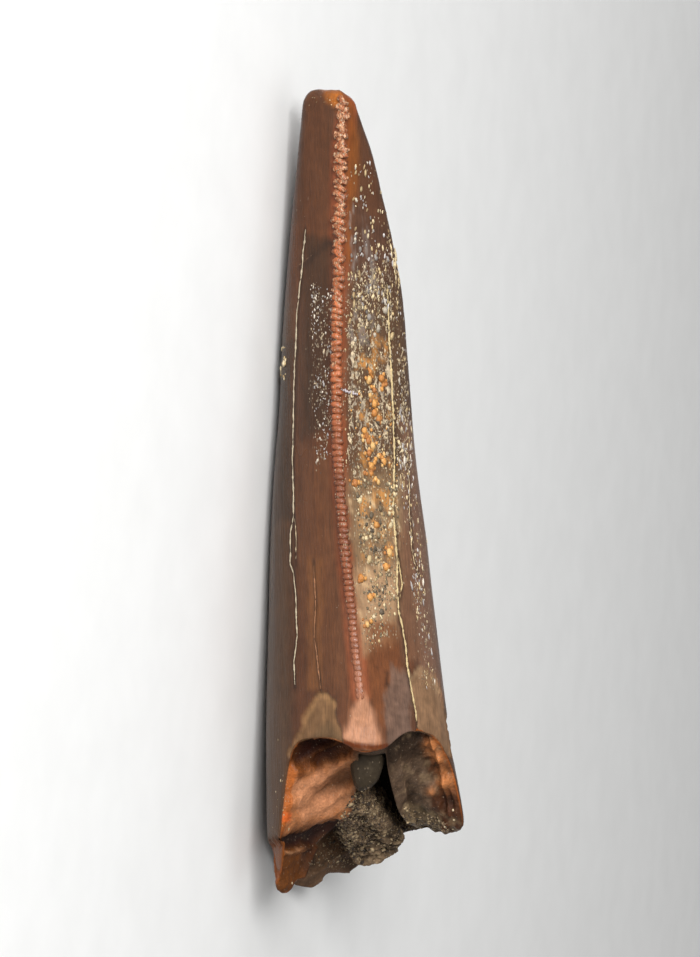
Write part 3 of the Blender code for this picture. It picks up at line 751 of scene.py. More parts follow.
# %% Zones of the crown, from the tip to the break
GOLD_PART = [(356, 332), (388, 335), (394, 500), (390, 560), (364, 560), (358, 440)]
GREY_FILM = [(348, 205), (360, 205), (378, 280), (372, 345), (350, 345)]
gold_part = in_outline(GOLD_PART, 8, 6) * smooth_step(rough_lumps(skin, 1.1, 35) * 2.5)
grey_film = in_outline(GREY_FILM, 6, 6)
grey_film *= smooth_step(rough_lumps(skin, (1.4, 0.6, 0.6), 36) * 3 + 0.2)
olive_film = dusty * smooth_step((y - 455) / 40)
pale_film = olive_film * smooth_step(rough_lumps(skin, 0.8, 33) * 2.6 - 0.3)
dark_film = olive_film * smooth_step(rough_lumps(skin, 0.7, 40) * 2.6 - 0.2)
ZONES = [
    # the crown is darker towards its tip, but for an orange cap on the crest
    (smooth_step((290 - y) / 120), (86, 58, 42), 0.55),
    (in_outline([(322, 88), (352, 94), (358, 110), (344, 114), (326, 100)], 8, 2),
     (164, 96, 38), 0.85),
    # the reddish band that carries the serrations, and the amber glow beside it near the tip
    (near_line(DISTAL_LINE, 19, 9), (138, 74, 46), 0.85),
    (in_outline([(346, 98), (353, 106), (359, 140), (357, 200), (352, 262), (346, 262)], 9, 2),
     (124, 72, 32), 0.7),
    (smooth_step((336 - x) / 8), (60, 38, 26), 0.3),
    # the darker lingual flank, and the cold grey strip on its outer side: painted sheen and shade
    (in_outline([(306, 235), (334, 240), (332, 430), (300, 440)], 12, 6), (62, 47, 37), 0.75),
    (near_line([(300, 268), (313, 258), (330, 242)], 5, 6, 3), (48, 38, 33), 0.6),
    (in_outline([(262, 300), (290, 300), (290, 840), (262, 840)], 14, 3), (80, 62, 48), 0.8),
    (in_outline([(278, 340), (294, 340), (292, 520), (276, 520)], 12, 4), (60, 48, 40), 0.6),
    (in_outline([(298, 440), (332, 460), (346, 690), (326, 690), (300, 620)], 14, 6),
     (100, 66, 46), 0.7),
    (in_outline([(308, 560), (322, 560), (322, 690), (308, 690)], 10, 4), (128, 84, 50), 0.5),
    # the labial flank: dark, then dusty olive where the crust is thick
    (in_outline([(352, 200), (400, 240), (416, 470), (424, 640), (396, 640), (352, 300)], 12, 6),
     (84, 60, 48), 0.85),
    (dusty * smooth_step((y - 250) / 60), (92, 72, 54), 0.6),
    (olive_film, (138, 112, 84), 0.75),
    (pale_film, (214, 184, 142), 0.7),
    (dark_film, (104, 86, 66), 0.45),
    (dusty * smooth_step((y - 555) / 25), (186, 150, 116), 0.5),
    (gold_part, (188, 132, 72), 0.8),
    (grey_film, (126, 116, 110), 0.7),
    (in_outline([(400, 420), (420, 420), (444, 700), (424, 690), (404, 560)], 10, 5),
     (124, 93, 76), 0.8),
    (in_outline([(394, 530), (412, 530), (420, 660), (402, 660)], 8, 5), (114, 82, 62), 0.7),
    (in_outline([(368, 622), (396, 620), (404, 690), (390, 730), (374, 724), (366, 660)], 10, 6),
     (114, 70, 44), 0.8),
    # the grey-brown patch, with a painted lilac sheen
    (in_outline(LILAC_PATCH, 7, 8), (110, 88, 76), 0.85),
    # the faded end of the strip, and the enamel below the last denticle
    (near_line([(351, 605), (356, 650), (361, 694)], 13, 8), (146, 92, 66), 0.7),
    # the smooth triangle: pink-tan enamel, made lighter by a painted highlight
    (triangle, (176, 128, 100), 0.95),
    # a dark band along the rim: painted shade under its edge
    (near_line([(300, 744), (327, 738), (341, 741), (353, 745), (373, 747), (386, 746)], 5.5, 3),
     (96, 48, 22), 0.95),
    (in_outline(LEFT_CHIP, 4, 3), (124, 94, 66), 0.92),
    (in_outline(RIGHT_CHIP, 4, 4), (136, 106, 80), 0.92),
    (in_outline([(308, 735), (330, 722), (342, 741), (300, 746)], 10, 4), (92, 74, 54), 0.6),
    # the pale upper borders of both chips: painted highlights on their edges
    (near_line([(303, 722), (312, 704), (319, 695), (328, 698), (334, 706)], 3, 6, 3),
     (166, 128, 88), 0.45),
    (near_line([(412, 678), (420, 670), (432, 674), (440, 692)], 3, 4, 2), (172, 142, 110), 0.6),
    (near_line([(378, 668), (387, 673), (387, 684)], 4, 4, 6), (46, 34, 28), 0.7),
]
for mask, colour, strength in ZONES:
    colours = lay_colour(colours, mask * shown_crown, tint(*colour), strength)
colours = lay_colour(colours, bare * on_crown, tint(110, 62, 28), 0.95)
# The faces that the photo doesn't show are as brown and streaky as the flanks beside them.
colours = lay_colour(colours, 1 - facing, tint(90, 69, 54), 0.6)
turned_away = (1 - facing) * smooth_step(1.6 * rough_lumps(skin, (12, 2, 2), 44))
colours = lay_colour(colours, turned_away, tint(112, 84, 64), 0.45)
for crack in (LEFT_CRACK, LEFT_STRAND, SECOND_CRACK, RIGHT_CRACK, RIGHT_STRAND, FAR_CRACK):
    colours = lay_colour(colours, near_line(crack, 3.4, 2) * shown_crown, tint(46, 34, 28), 0.6)

# Worn or chipped enamel is cloudy and finely wrinkled; on the lilac patch the clouds are painted
# sheen.
lilac = in_outline(LILAC_PATCH, 6, 5)
worn_and_sheen_layer = np.maximum(np.maximum(chip, triangle), lilac * shown_crown)
clouds = 0.3 * rough_lumps(skin, (1.5, 0.8, 0.8), 39) + 0.14 * lumps(skin, (0.3, 0.7, 0.7), 45)
cloudy = (0.35 + 0.65 * worn_and_sheen_layer + 0.5 * lilac) * on_crown
colours = colours * (1 + clouds * cloudy)[:, None]
print("zones of the crown:", len(ZONES))

# %% Zones of the break
mottled = rough_lumps(skin, 0.8, 37)
band_width = 0.5 + 0.55 * left_side * smooth_step((y - 762) / 12)
enamel_band = smooth_step((band_width - inward + 0.12 * raggedness) / 0.3)
enamel_band *= smooth_step((0.5 - side_share) / 0.1)
orange_knobs = right_side * smooth_step((804 - y) / 12) * np.clip(knobs / 0.45, 0, 1)
break_colours = np.tile(tint(96, 76, 60), (count, 1))
BREAK_ZONES = [
    (left_side, (170, 110, 70), 1.0),
    (in_outline([(296, 780), (345, 758), (352, 772), (350, 800), (300, 820), (290, 800)], 8, 8),
     (196, 136, 98), 0.7),
    (in_outline([(338, 764), (356, 754), (356, 802), (340, 815)], 6, 4), (196, 134, 90), 0.35),
    # painted shadow under the arch of the rim
    (in_outline(
        [(280, 740), (356, 738), (356, 754), (336, 760), (312, 770), (296, 776), (289, 768)], 7, 7,
    ), (106, 58, 28), 0.9),
    # a painted shadow band above the lingual prong
    (in_outline([(282, 838), (318, 826), (346, 814), (336, 830), (314, 848), (276, 853)], 4, 3),
     (68, 39, 20), 0.95),
    (in_outline([(270, 852), (312, 845), (303, 874), (290, 892), (268, 892)], 4, 2),
     (100, 56, 22), 0.95),
    (near_line([(275, 854), (290, 852), (311, 847)], 2, 2, 1), (190, 136, 96), 0.8),
    (in_outline([(385, 735), (424, 730), (430, 745), (408, 760), (388, 765)], 9, 6),
     (54, 42, 34), 0.85),
    (in_outline([(392, 765), (430, 760), (440, 800), (410, 815), (396, 800)], 10, 6),
     (104, 84, 68), 0.8),
    (in_outline([(424, 734), (440, 738), (456, 782), (458, 800), (440, 796), (428, 760)], 7, 5),
     (124, 74, 44), 0.8),
    (in_outline([(428, 792), (462, 796), (464, 822), (452, 834), (436, 820)], 6, 4),
     (74, 42, 26), 0.9),
    (rough_lip, (152, 130, 100), 0.85),
    (in_outline([(300, 838), (350, 828), (362, 866), (340, 872), (318, 884), (298, 884)], 5, 4),
     (84, 53, 36), 0.9),
    # a pale wall beside the rock, its colour raised as painted light where it lies in shade
    (in_outline([(320, 842), (345, 826), (352, 850), (325, 862), (319, 864)], 8, 4),
     (196, 160, 124), 0.9),
    (in_outline([(305, 838), (319, 838), (319, 862), (306, 868)], 3, 2), (72, 42, 24), 0.9),
    (right_side * smooth_step(2.4 * mottled - 0.3), (156, 130, 100), 0.6),
    (right_side * smooth_step(-2.4 * mottled - 0.3), (44, 32, 24), 0.6),
    (orange_knobs, (192, 122, 72), 0.8),
    # the edge of the enamel, with one bright spot, and what the camera doesn't see
    (enamel_band, (158, 84, 34), 0.85),
    (in_outline([(278, 812), (289, 812), (288, 822), (278, 822)], 3, 1), (205, 96, 42), 0.9),
    (smooth_step((side_share - 0.5) / 0.1), (98, 76, 58), 0.9),
]
for mask, colour, strength in BREAK_ZONES:
    break_colours = lay_colour(break_colours, mask, tint(*colour), strength)
print("zones of the break:", len(BREAK_ZONES))

# Ridges are painted paler, as lit, and hollows darker, partly dirt and partly painted shade.
height = np.clip(break_relief / 0.55, -1, 1)
break_colours = break_colours * np.where(height > 0, 1 + 0.45 * height, 1 + 0.72 * height)[:, None]
# Painted light on the cavity's wall beside the rock.
lit_wall = in_outline([(308, 842), (352, 822), (356, 852), (318, 868)], 4, 3)
cavity_colours = np.tile(tint(58, 46, 38), (count, 1))
cavity_colours = lay_colour(cavity_colours, lit_wall, tint(122, 92, 68), 0.9)
colours = np.where((row > rim_row)[:, None], break_colours, colours)
colours = np.where((row > mouth_row)[:, None], cavity_colours, colours)
# The gloss adds a little white all over, so as much is taken off the colours here.
GLOSS_HAZE = 0.009
colours = np.maximum(colours - GLOSS_HAZE, 0.25 * colours)

# %% Polish and dust
polish = np.full(count, 0.30) + 0.06 * lumps(skin, (8, 2, 2), 41)
polish = np.where(on_crown, polish + 0.3 * chip + 0.3 * dusty - 0.04 * triangle, 0.5)
polish = np.where(row > mouth_row, 0.75, polish)
patchy = 0.75 + 0.75 * rough_lumps(skin, (5, 1.6, 1.6), 43)
dust = dusty * (0.12 + 0.62 * smooth_step((y - 225) / 70) - 0.34 * smooth_step((y - 450) / 60))
dust *= np.clip(patchy, 0, 1.3) * (1 - 0.6 * smooth_step((x - 392 - 0.04 * (y - 400)) / 6))
LEFT_DUST = [(312, 280), (334, 300), (334, 440), (318, 470), (308, 380)]
RIGHT_DUST = [(398, 330), (416, 420), (438, 690), (424, 690), (400, 460)]
dust += (0.35 * in_outline(LEFT_DUST, 10, 6) + 0.3 * in_outline(RIGHT_DUST, 10, 6)) * shown_crown
dust += 0.10 * on_crown * smooth_step(rough_lumps(skin, (12, 4, 4), 42) * 2) * (1 - facing)
dust = np.clip(dust, 0, 1)
print("dusty points:", int((dust > 0.3).sum()), "of", count)


# %% Store them on the mesh
def store_colour(obj, values, name="zone_colour"):
    layer = obj.data.color_attributes.new(name, "FLOAT_COLOR", "POINT")
    full = np.column_stack([np.clip(values, 0, 1), np.ones(len(values))])
    layer.data.foreach_set("color", full.astype(np.float32).ravel())


def store_value(obj, values, name):
    layer = obj.data.attributes.new(name, "FLOAT", "POINT")
    layer.data.foreach_set("value", np.asarray(values, np.float32))


store_colour(tooth, colours)
store_value(tooth, polish, "polish")
store_value(tooth, dust, "dust")

enamel = bpy.data.materials.new("enamel")
dentine = bpy.data.materials.new("dentine")
pulp_wall = bpy.data.materials.new("pulp_wall")
for material in (enamel, dentine, pulp_wall):
    tooth.data.materials.append(material)
tooth.data.polygons.foreach_set("material_index", face_kind)
merge_doubles(tooth, outwards=True)
bpy.ops.object.shade_smooth()
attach(tooth, "root")
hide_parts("tooth")
print("tooth skin:", len(tooth.data.polygons), "faces")


# %% [markdown]
# ## Effects that several finishes share
#
# Streaks, specks and mottling appear on enamel, dentine and rock alike, so each is a shader node
# group with its own inputs. The groups put out masks only. The Principled shader stays in each
# material.

# %% Helpers for node trees
def set_inputs(tree, node, inputs):
    """Gives inputs their values. A socket is linked, and anything else is set."""
    for label, value in inputs.items():
        if isinstance(value, bpy.types.NodeSocket):
            tree.links.new(value, node.inputs[label])
        else:
            node.inputs[label].default_value = value


def add_node(tree, kind, inputs={}, **settings):
    """A node with its settings and inputs, laid to the right of the ones before it."""
    column, line = divmod(len(tree.nodes), 3)
    node = tree.nodes.new(kind if kind.startswith("Node") else "ShaderNode" + kind)
    node.location = (220 * column, -280 * line)
    for key, value in settings.items():
        setattr(node, key, value)
    set_inputs(tree, node, inputs)
    return node


def calculate(tree, operation, first, second):
    return add_node(tree, "Math", {0: first, 1: second}, operation=operation).outputs[0]


def remap(tree, value, low, high):
    """0 where a value is at low, 1 where it is at high, and even between them."""
    inputs = {"Value": value, "From Min": low, "From Max": high}
    return add_node(tree, "MapRange", inputs).outputs["Result"]


def new_group(name, inputs, outputs):
    """A node group with no nodes in it but its input, and the sockets of that."""
    group = bpy.data.node_groups.new(name, "ShaderNodeTree")
    group.interface.new_socket("Vector", in_out="INPUT", socket_type="NodeSocketVector")
    for label, value in inputs.items():
        socket = group.interface.new_socket(label, in_out="INPUT", socket_type="NodeSocketFloat")
        socket.default_value = value
    for label in outputs:
        group.interface.new_socket(label, in_out="OUTPUT", socket_type="NodeSocketFloat")
    return group, add_node(group, "NodeGroupInput").outputs


def in_grains(group, vector, size, share=1.0):
    """Coordinates counted in grains of a size, and the same with the length drawn together."""
    per_mm = calculate(group, "DIVIDE", 1.0, size)
    counted = add_node(group, "VectorMath", {0: vector, "Scale": per_mm}, operation="SCALE")
    inputs = {0: counted.outputs[0], 1: (share, 1.0, 1.0)}
    drawn = add_node(group, "VectorMath", inputs, operation="MULTIPLY")
    return counted.outputs[0], drawn.outputs[0]


# %% Streaks along the tooth
streaks_group, given = new_group("streaks", {"Width": 0.3}, ["Mask"])
_, drawn_out = in_grains(streaks_group, given["Vector"], given["Width"], 0.06)
noise = {"Vector": drawn_out, "Scale": 1.0, "Detail": 4.0, "Roughness": 0.6}
grain = add_node(streaks_group, "TexNoise", noise).outputs["Fac"]
add_node(streaks_group, "NodeGroupOutput", {"Mask": remap(streaks_group, grain, 0.3, 0.7)})
print("streaks:", len(streaks_group.nodes), "nodes")

# %% Specks that thicken with the dust
specks_group, given = new_group("specks", {"Size": 0.3, "Density": 0.5}, ["Mask", "Shade"])
_, drawn_out = in_grains(specks_group, given["Vector"], given["Size"], 0.5)
cells = add_node(specks_group, "TexVoronoi", {"Vector": drawn_out, "Scale": 1.0}).outputs
parts = add_node(specks_group, "SeparateColor", {0: cells["Color"]}).outputs
chosen = calculate(specks_group, "LESS_THAN", parts[0], given["Density"])
reach = remap(specks_group, cells["Distance"], 0.42, 0.24)
mask = calculate(specks_group, "MULTIPLY", chosen, reach)
add_node(specks_group, "NodeGroupOutput", {"Mask": mask, "Shade": parts[1]})
print("specks:", len(specks_group.nodes), "nodes")

# %% Wiggling marks of crust, that join up where the dust is thick; painted glints on the denticles
marks_group, given = new_group("crust_and_glint_marks", {"Size": 0.3, "Density": 0.5}, ["Mask", "Shade"])
counted, drawn_out = in_grains(marks_group, given["Vector"], given["Size"], 0.55)
noise = {"Vector": drawn_out, "Scale": 1.0, "Detail": 3.0, "Roughness": 0.65, "Distortion": 0.6}
wiggle = add_node(marks_group, "TexNoise", noise).outputs["Fac"]
noise = {"Vector": counted, "Scale": 0.6, "Detail": 3.0}
shade = add_node(marks_group, "TexNoise", noise).outputs["Fac"]
more = calculate(marks_group, "MULTIPLY", given["Density"], 0.34)
mask = remap(marks_group, calculate(marks_group, "ADD", more, wiggle), 0.72, 0.78)
shade = remap(marks_group, shade, 0.38, 0.62)
add_node(marks_group, "NodeGroupOutput", {"Mask": mask, "Shade": shade})
print("crust marks:", len(marks_group.nodes), "nodes")

# %% Mottling
mottle_group, given = new_group("mottling", {"Size": 1.0}, ["Mask"])
per_mm = calculate(mottle_group, "DIVIDE", 1.0, given["Size"])
noise = {"Vector": given["Vector"], "Scale": per_mm, "Detail": 5.0}
grain = add_node(mottle_group, "TexNoise", noise).outputs["Fac"]
add_node(mottle_group, "NodeGroupOutput", {"Mask": remap(mottle_group, grain, 0.32, 0.68)})
print("mottling:", len(mottle_group.nodes), "nodes")


# %% [markdown]
# ## Materials
#
# Each material reads Object coordinates, turned into the tooth's own directions and scaled to
# millimetres by a Mapping node, so that streaks run along the tooth and sizes can be given in
# millimetres. The colour starts from the zones painted on the mesh.

# %% One start for all materials
TOOTH_TURN = Matrix(TURN.T.tolist()).to_euler()


def start_material(material, coat=0.0, specular=0.5):
    """Empties a material and gives it coordinates in millimetres and a Principled shader."""
    material.use_nodes = True
    tree = material.node_tree
    tree.nodes.clear()
    shader = add_node(tree, "BsdfPrincipled", {
        "IOR": 1.5, "Specular IOR Level": specular, "Coat Weight": coat, "Coat Roughness": 0.12,
    })
    add_node(tree, "OutputMaterial", {"Surface": shader.outputs[0]})
    mapping = add_node(tree, "Mapping", {
        "Vector": add_node(tree, "TexCoord").outputs["Object"],
        "Rotation": TOOTH_TURN, "Scale": (1 / MM, 1 / MM, 1 / MM),
    })
    return tree, shader, mapping.outputs[0]


def read_attribute(tree, name, output="Fac"):
    return add_node(tree, "Attribute", attribute_name=name).outputs[output]


def use_group(tree, group, where, **values):
    """A group placed in a material, with its own values. Gives its outputs."""
    return add_node(tree, "Group", {"Vector": where, **values}, node_tree=group).outputs


def mix_colour(tree, factor, first, second, blend="MIX"):
    """Mix of two colours. Each may be a socket or a linear colour."""
    first, second = ((*end, 1) if isinstance(end, tuple) else end for end in (first, second))
    inputs = {0: factor, 6: first, 7: second}
    return add_node(tree, "Mix", inputs, data_type="RGBA", blend_type=blend).outputs[2]


def add_bump(tree, height, depth, strength, normal=None):
    """Bump of a depth in millimetres, on top of another one if its normal is given."""
    inputs = {"Height": height, "Distance": depth * MM, "Strength": strength}
    if normal is not None:
        inputs["Normal"] = normal
    return add_node(tree, "Bump", inputs).outputs[0]


# %% [markdown]
# ### Enamel
#
# Polished and brown, with fine streaks and grooves along its length. Where dust lies on it, cream
# specks break through and the gloss goes. The denticles get copper marks instead: painted glints.

# %% Enamel
CREAM_MARKS = ((0.66, 0.52, 0.34), (0.24, 0.19, 0.14))
COPPER_GLINTS = ((0.58, 0.31, 0.17), (0.22, 0.075, 0.03))
POWDER = ((0.55, 0.44, 0.29), (0.05, 0.04, 0.035))


def make_enamel(material, coat=0.06, mark_size=0.42, marks=CREAM_MARKS):
    tree, shader, where = start_material(material, coat=coat, specular=0.22)
    zones = read_attribute(tree, "zone_colour", "Color")
    dust_and_glint_share = read_attribute(tree, "dust")
    wide = use_group(tree, streaks_group, where, Width=0.8)["Mask"]
    fine = use_group(tree, streaks_group, where, Width=0.13)["Mask"]
    patches = use_group(tree, mottle_group, where, Size=1.2)["Mask"]
    specks = use_group(tree, marks_group, where, Size=mark_size, Density=dust_and_glint_share)
    tiny = use_group(tree, specks_group, where, Size=0.17, Density=dust_and_glint_share)
    # brown, with darker streaks and lighter lines along the tooth
    dark = mix_colour(tree, 1.0, zones, (0.62, 0.6, 0.58), "MULTIPLY")
    streaked = mix_colour(tree, wide, dark, zones)
    light = mix_colour(tree, 1.0, zones, (1.3, 1.26, 1.2), "MULTIPLY")
    lined = mix_colour(tree, fine, streaked, light)
    toned = mix_colour(tree, 0.95, zones, lined)
    hollow = mix_colour(tree, 1.0, toned, (0.6, 0.58, 0.56), "MULTIPLY")
    patched = mix_colour(tree, calculate(tree, "MULTIPLY", patches, 0.5), toned, hollow)
    # the marks of crust, and powder between them; on the denticles these are painted glints
    dusted = mix_colour(tree, specks["Mask"], patched, mix_colour(tree, specks["Shade"], *marks))
    thin = calculate(tree, "MULTIPLY", tiny["Mask"], 0.8)
    final = mix_colour(tree, thin, dusted, mix_colour(tree, tiny["Shade"], *POWDER))
    matt = calculate(tree, "MULTIPLY", specks["Mask"], 0.45)
    grooves = add_bump(tree, fine, 0.03, 0.7)
    set_inputs(tree, shader, {
        "Base Color": final,
        "Roughness": calculate(tree, "ADD", matt, read_attribute(tree, "polish")),
        "Normal": add_bump(tree, specks["Mask"], 0.08, 0.9, grooves),
    })


make_enamel(enamel)

# %% [markdown]
# ### Broken dentine and the cavity's wall
#
# Dentine breaks with a satin, fibrous face, so it gets the slanting ribs of the mesh, a finer
# grain in its bump, and darker hollows, partly dirt and partly painted shade.

# %% Dentine and pulp wall
def make_dentine(material, fibre=0.25, dirt=0.5, coat=0.03, grit=0.07):
    tree, shader, where = start_material(material, coat=coat, specular=0.18)
    zones = read_attribute(tree, "zone_colour", "Color")
    fibres = use_group(tree, mottle_group, where, Size=fibre)["Mask"]
    patches = use_group(tree, mottle_group, where, Size=1.6)["Mask"]
    grains = use_group(tree, specks_group, where, Size=0.16, Density=grit)["Mask"]
    dark = mix_colour(tree, 0.7, zones, (0.02, 0.011, 0.006))
    streaked = mix_colour(tree, fibres, dark, zones)
    toned = mix_colour(tree, dirt, zones, streaked)
    patched = mix_colour(tree, calculate(tree, "MULTIPLY", patches, dirt), toned, dark)
    thin = calculate(tree, "MULTIPLY", grains, 0.4)
    rough = calculate(tree, "MULTIPLY", patches, 0.2)
    set_inputs(tree, shader, {
        "Base Color": mix_colour(tree, thin, patched, (0.4, 0.3, 0.2)),
        "Roughness": calculate(tree, "ADD", rough, read_attribute(tree, "polish")),
        "Normal": add_bump(tree, grains, 0.04, 0.5, add_bump(tree, fibres, 0.12, 0.6)),
    })


make_dentine(dentine)
make_dentine(pulp_wall, fibre=0.4, dirt=0.6, coat=0.0)

# %% [markdown]
# ## A tree of faces to land things on
#
# Grains, cracks and crust are dropped onto the surface along the camera's line of sight, or along a
# section's own direction on the faces that the camera doesn't see.

# %% Landing
def face_tree(objects):
    """One search tree over several finished pieces, in tooth directions."""
    points, faces, start = [], [], 0
    for obj in objects:
        local = to_tooth(read_points(obj))
        points += local.tolist()
        faces += [[start + v for v in face.vertices] for face in obj.data.polygons]
        start += len(local)
    return BVHTree.FromPolygons(points, faces)


def land(tree, x, y):
    """Point and normal where the line of sight through (x, y) meets the tree."""
    point, normal, _, _ = tree.ray_cast(Vector(eye), sight(x, y).normalized())
    if point is None:
        return None, None
    if normal.dot(Vector(forward)) > 0:
        normal = -normal
    return np.array(point), np.array(normal)


tooth_tree = face_tree([tooth])

# %% [markdown]
# ## Denticles
#
# Each serration is a small chisel-shaped bead set across the edge. One bead is modelled from an
# icosphere, and copied along both edges with a little change in size and tilt. Near the tip they
# are worn down to low knobs, bent like an S.

# %% One denticle
def ball_to_copy(subdivisions):
    """Points and faces of an icosphere that is only there to be copied."""
    deselect()
    bpy.ops.mesh.primitive_ico_sphere_add(subdivisions=subdivisions, radius=1.0)
    ball = bpy.context.object
    points = read_points(ball)
    faces = np.array([tuple(face.vertices) for face in ball.data.polygons])
    bpy.data.objects.remove(ball)
    return points, faces


def squared(points, power):
    """A ball pushed towards a block: the lower the power, the squarer."""
    return np.sign(points) * np.abs(points) ** power


bead_points, bead_faces = ball_to_copy(2)
bead_points = squared(bead_points, 0.8)
print("one denticle:", len(bead_faces), "faces")

# %% Many copies in one mesh
def joined_copies(name, points, faces, colours, material):
    """One mesh of many copies. points is (copies, vertices, 3), colours is (copies, 3)."""
    copies, size = points.shape[:2]
    all_faces = (faces[None] + np.arange(copies)[:, None, None] * size).reshape(-1, faces.shape[1])
    mesh = bpy.data.meshes.new(name)
    mesh.from_pydata(to_world(points.reshape(-1, 3)).tolist(), [], all_faces.tolist())
    obj = link_object(name, mesh)
    mesh.materials.append(material)
    mesh.shade_smooth()
    spread = colours if colours.ndim == 3 else np.repeat(colours[:, None], size, axis=1)
    store_colour(obj, spread.reshape(-1, 3))
    return obj


# %% A row of denticles
random = np.random.default_rng(5)


def denticle_middles(last):
    valley, middles, pitches = FIRST_DENTICLE, [], []
    while valley < last:
        along = (valley - FIRST_DENTICLE) / (LAST_DENTICLE - FIRST_DENTICLE)
        pitch = PITCH_AT_TIP + (PITCH_AT_BASE - PITCH_AT_TIP) * along
        middles.append(valley + pitch / 2)
        pitches.append(pitch)
        valley += pitch
    return np.array(middles), np.array(pitches)


def edge_frame(length, edge_place, sign):
    """Point on an edge, and its directions along, out of and across the edge."""
    here = crown(np.array([edge_place]), np.array([length]))[0]
    after = crown(np.array([edge_place]), np.array([length + 0.5]))[0]
    along = after - here
    along /= np.linalg.norm(along)
    across = np.array([0.0, 0.0, 1.0])
    out = np.cross(along, across)
    out *= sign * np.sign(out[1])
    return here, along, out / np.linalg.norm(out), across


def bead_shape(spot, along, out, across, size, bend, bumps, tilt):
    """One bead set across the edge, bent like an S, bumpy and tilted."""
    local = bead_points * size
    local[:, 0] += bend * np.sin(np.pi * bead_points[:, 2])
    local = local * (1 + bumps)[:, None]
    turned = along * math.cos(tilt) + across * math.sin(tilt)
    crosswise = across * math.cos(tilt) - along * math.sin(tilt)
    return spot + local[:, :1] * turned + local[:, 1:2] * out + local[:, 2:] * crosswise


TIP_TONE = tint(172, 98, 58)
BASE_TONE = tint(134, 78, 52)
VALLEY_SHADE_TONE = tint(96, 48, 28)
FADED_TONE = tint(140, 88, 62)
BEAD_HEIGHT = np.clip(bead_points[:, 1:2], 0, 1) ** 1.5


def row_of_denticles(last, edge_place, sign, fade):
    """Shapes, tones and painted glint marks of a row that fades over its last millimetres."""
    shapes, tones = [], []
    middles, pitches = denticle_middles(last)
    for length_here, pitch in zip(middles, pitches):
        here, along, out, across = edge_frame(length_here, edge_place, sign)
        wear = np.clip(0.45 + length_here / 14, 0, 1)
        present = np.clip((last + 1 - length_here) / fade, 0.04, 1) ** 1.3
        knobbly = np.clip(1.35 - length_here / 30, 0, 1)
        tilt = random.normal(0, 0.08 + 0.42 * knobbly)
        high = (0.8 - 0.35 * knobbly) * DENTICLE_HEIGHT * wear * present
        wide = strip_half_width(length_here) * (1.25 - 0.42 * length_here / LAST_DENTICLE)
        wide *= (0.7 + 0.3 * present) * random.uniform(0.9, 1.1)
        size = np.array([pitch * 0.64 * (1 - 0.12 * knobbly), high, wide])
        rough = lumps(bead_points + length_here * 7, (0.7, 1.2, 0.55), 51)
        spot = here + out * (random.normal(0.06, 0.015) - 0.15 * (1 - present))
        spot = spot + across * random.normal(0, 0.03)
        bend, bumps = 0.34 * pitch * knobbly, (0.06 + 0.24 * knobbly) * rough
        shapes.append(bead_shape(spot, along, out, across, size, bend, bumps, tilt))
        tone = TIP_TONE + (BASE_TONE - TIP_TONE) * smooth_step((length_here - 27) / 16)
        tone = FADED_TONE + (tone - FADED_TONE) * present
        valley_shade_tone = FADED_TONE + (VALLEY_SHADE_TONE - FADED_TONE) * present
        blotchy = (0.1 + 0.5 * knobbly) * lumps(bead_points + length_here * 5, 0.6, 52)
        shade = random.uniform(0.8, 1.12) * (1 + blotchy)
        # Each bead is painted darker towards its foot, as shade in the grooves between denticles.
        tones.append((valley_shade_tone + (tone - valley_shade_tone) * BEAD_HEIGHT) * shade[:, None])
    marked = 0.35 * np.clip((last - 4 - middles) / 10, 0, 1)
    marked += 0.5 * np.clip(1.15 - middles / 28, 0, 1)
    return np.array(shapes), np.array(tones), np.repeat(marked, len(bead_points))


# %% Both rows in one piece
back_shapes, back_tones, back_glints = row_of_denticles(LAST_DENTICLE, 0.0, -1, 13)
front_shapes, front_tones, front_glints = row_of_denticles(MESIAL_EDGE_ENDS, 1.0, 1, 5)
denticle_enamel = bpy.data.materials.new("denticle_enamel")
denticles = joined_copies(
    "denticles", np.concatenate([back_shapes, front_shapes]), bead_faces,
    np.concatenate([back_tones, front_tones]), denticle_enamel,
)
store_value(denticles, np.full(len(denticles.data.vertices), 0.28), "polish")
# On the denticles the dust attribute places painted copper glints, not dust.
store_value(denticles, np.concatenate([back_glints, 0.5 * front_glints]), "dust")
make_enamel(denticle_enamel, coat=0.12, mark_size=0.2, marks=COPPER_GLINTS)
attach(denticles, "root")
print("denticles:", len(back_shapes), "on the back edge,", len(front_shapes), "on the front edge")

# %% [markdown]
# ## The rock fill and the mud lobe
#
# The rock fill starts from a copy of its solid, merged and refined, then roughened. It is swollen a
# little, so that it meets the cavity's wall. The mud is a smooth squared lobe stuck under the arch.

# %% Rock fill
matrix = link_object("rock_fill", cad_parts["sand_matrix"].data.copy())
matrix.data.materials.clear()
merge_doubles(matrix)
remesh = matrix.modifiers.new("remesh", "REMESH")
remesh.mode = "VOXEL"
remesh.voxel_size = 0.00022
bpy.ops.object.modifier_apply(modifier=remesh.name)


def mesh_normals(obj):
    normal = np.empty(len(obj.data.vertices) * 3)
    obj.data.vertex_normals.foreach_get("vector", normal)
    return normal.reshape(-1, 3) @ TURN


rock = to_tooth(read_points(matrix))
rock_relief = 0.3 + 0.5 * rough_lumps(rock, 1.2, 61)
rock_relief += 0.28 * np.abs(lumps(rock, 0.5, 62)) + 0.1 * lumps(rock, 0.3, 65)
rock = rock + mesh_normals(matrix) * rock_relief[:, None]
# Beside the labial wall the fill has fallen away and leaves a black gap.
GAP = [
    (384, 750), (388, 748), (394, 788), (401, 810), (413, 826), (396, 822), (384, 804), (371, 790),
    (380, 775),
]
GAP_DEPTH = 3.5
rock += forward * GAP_DEPTH * in_outline(GAP, 6, 0, seen(rock))[:, None]
write_points(matrix, to_world(rock))

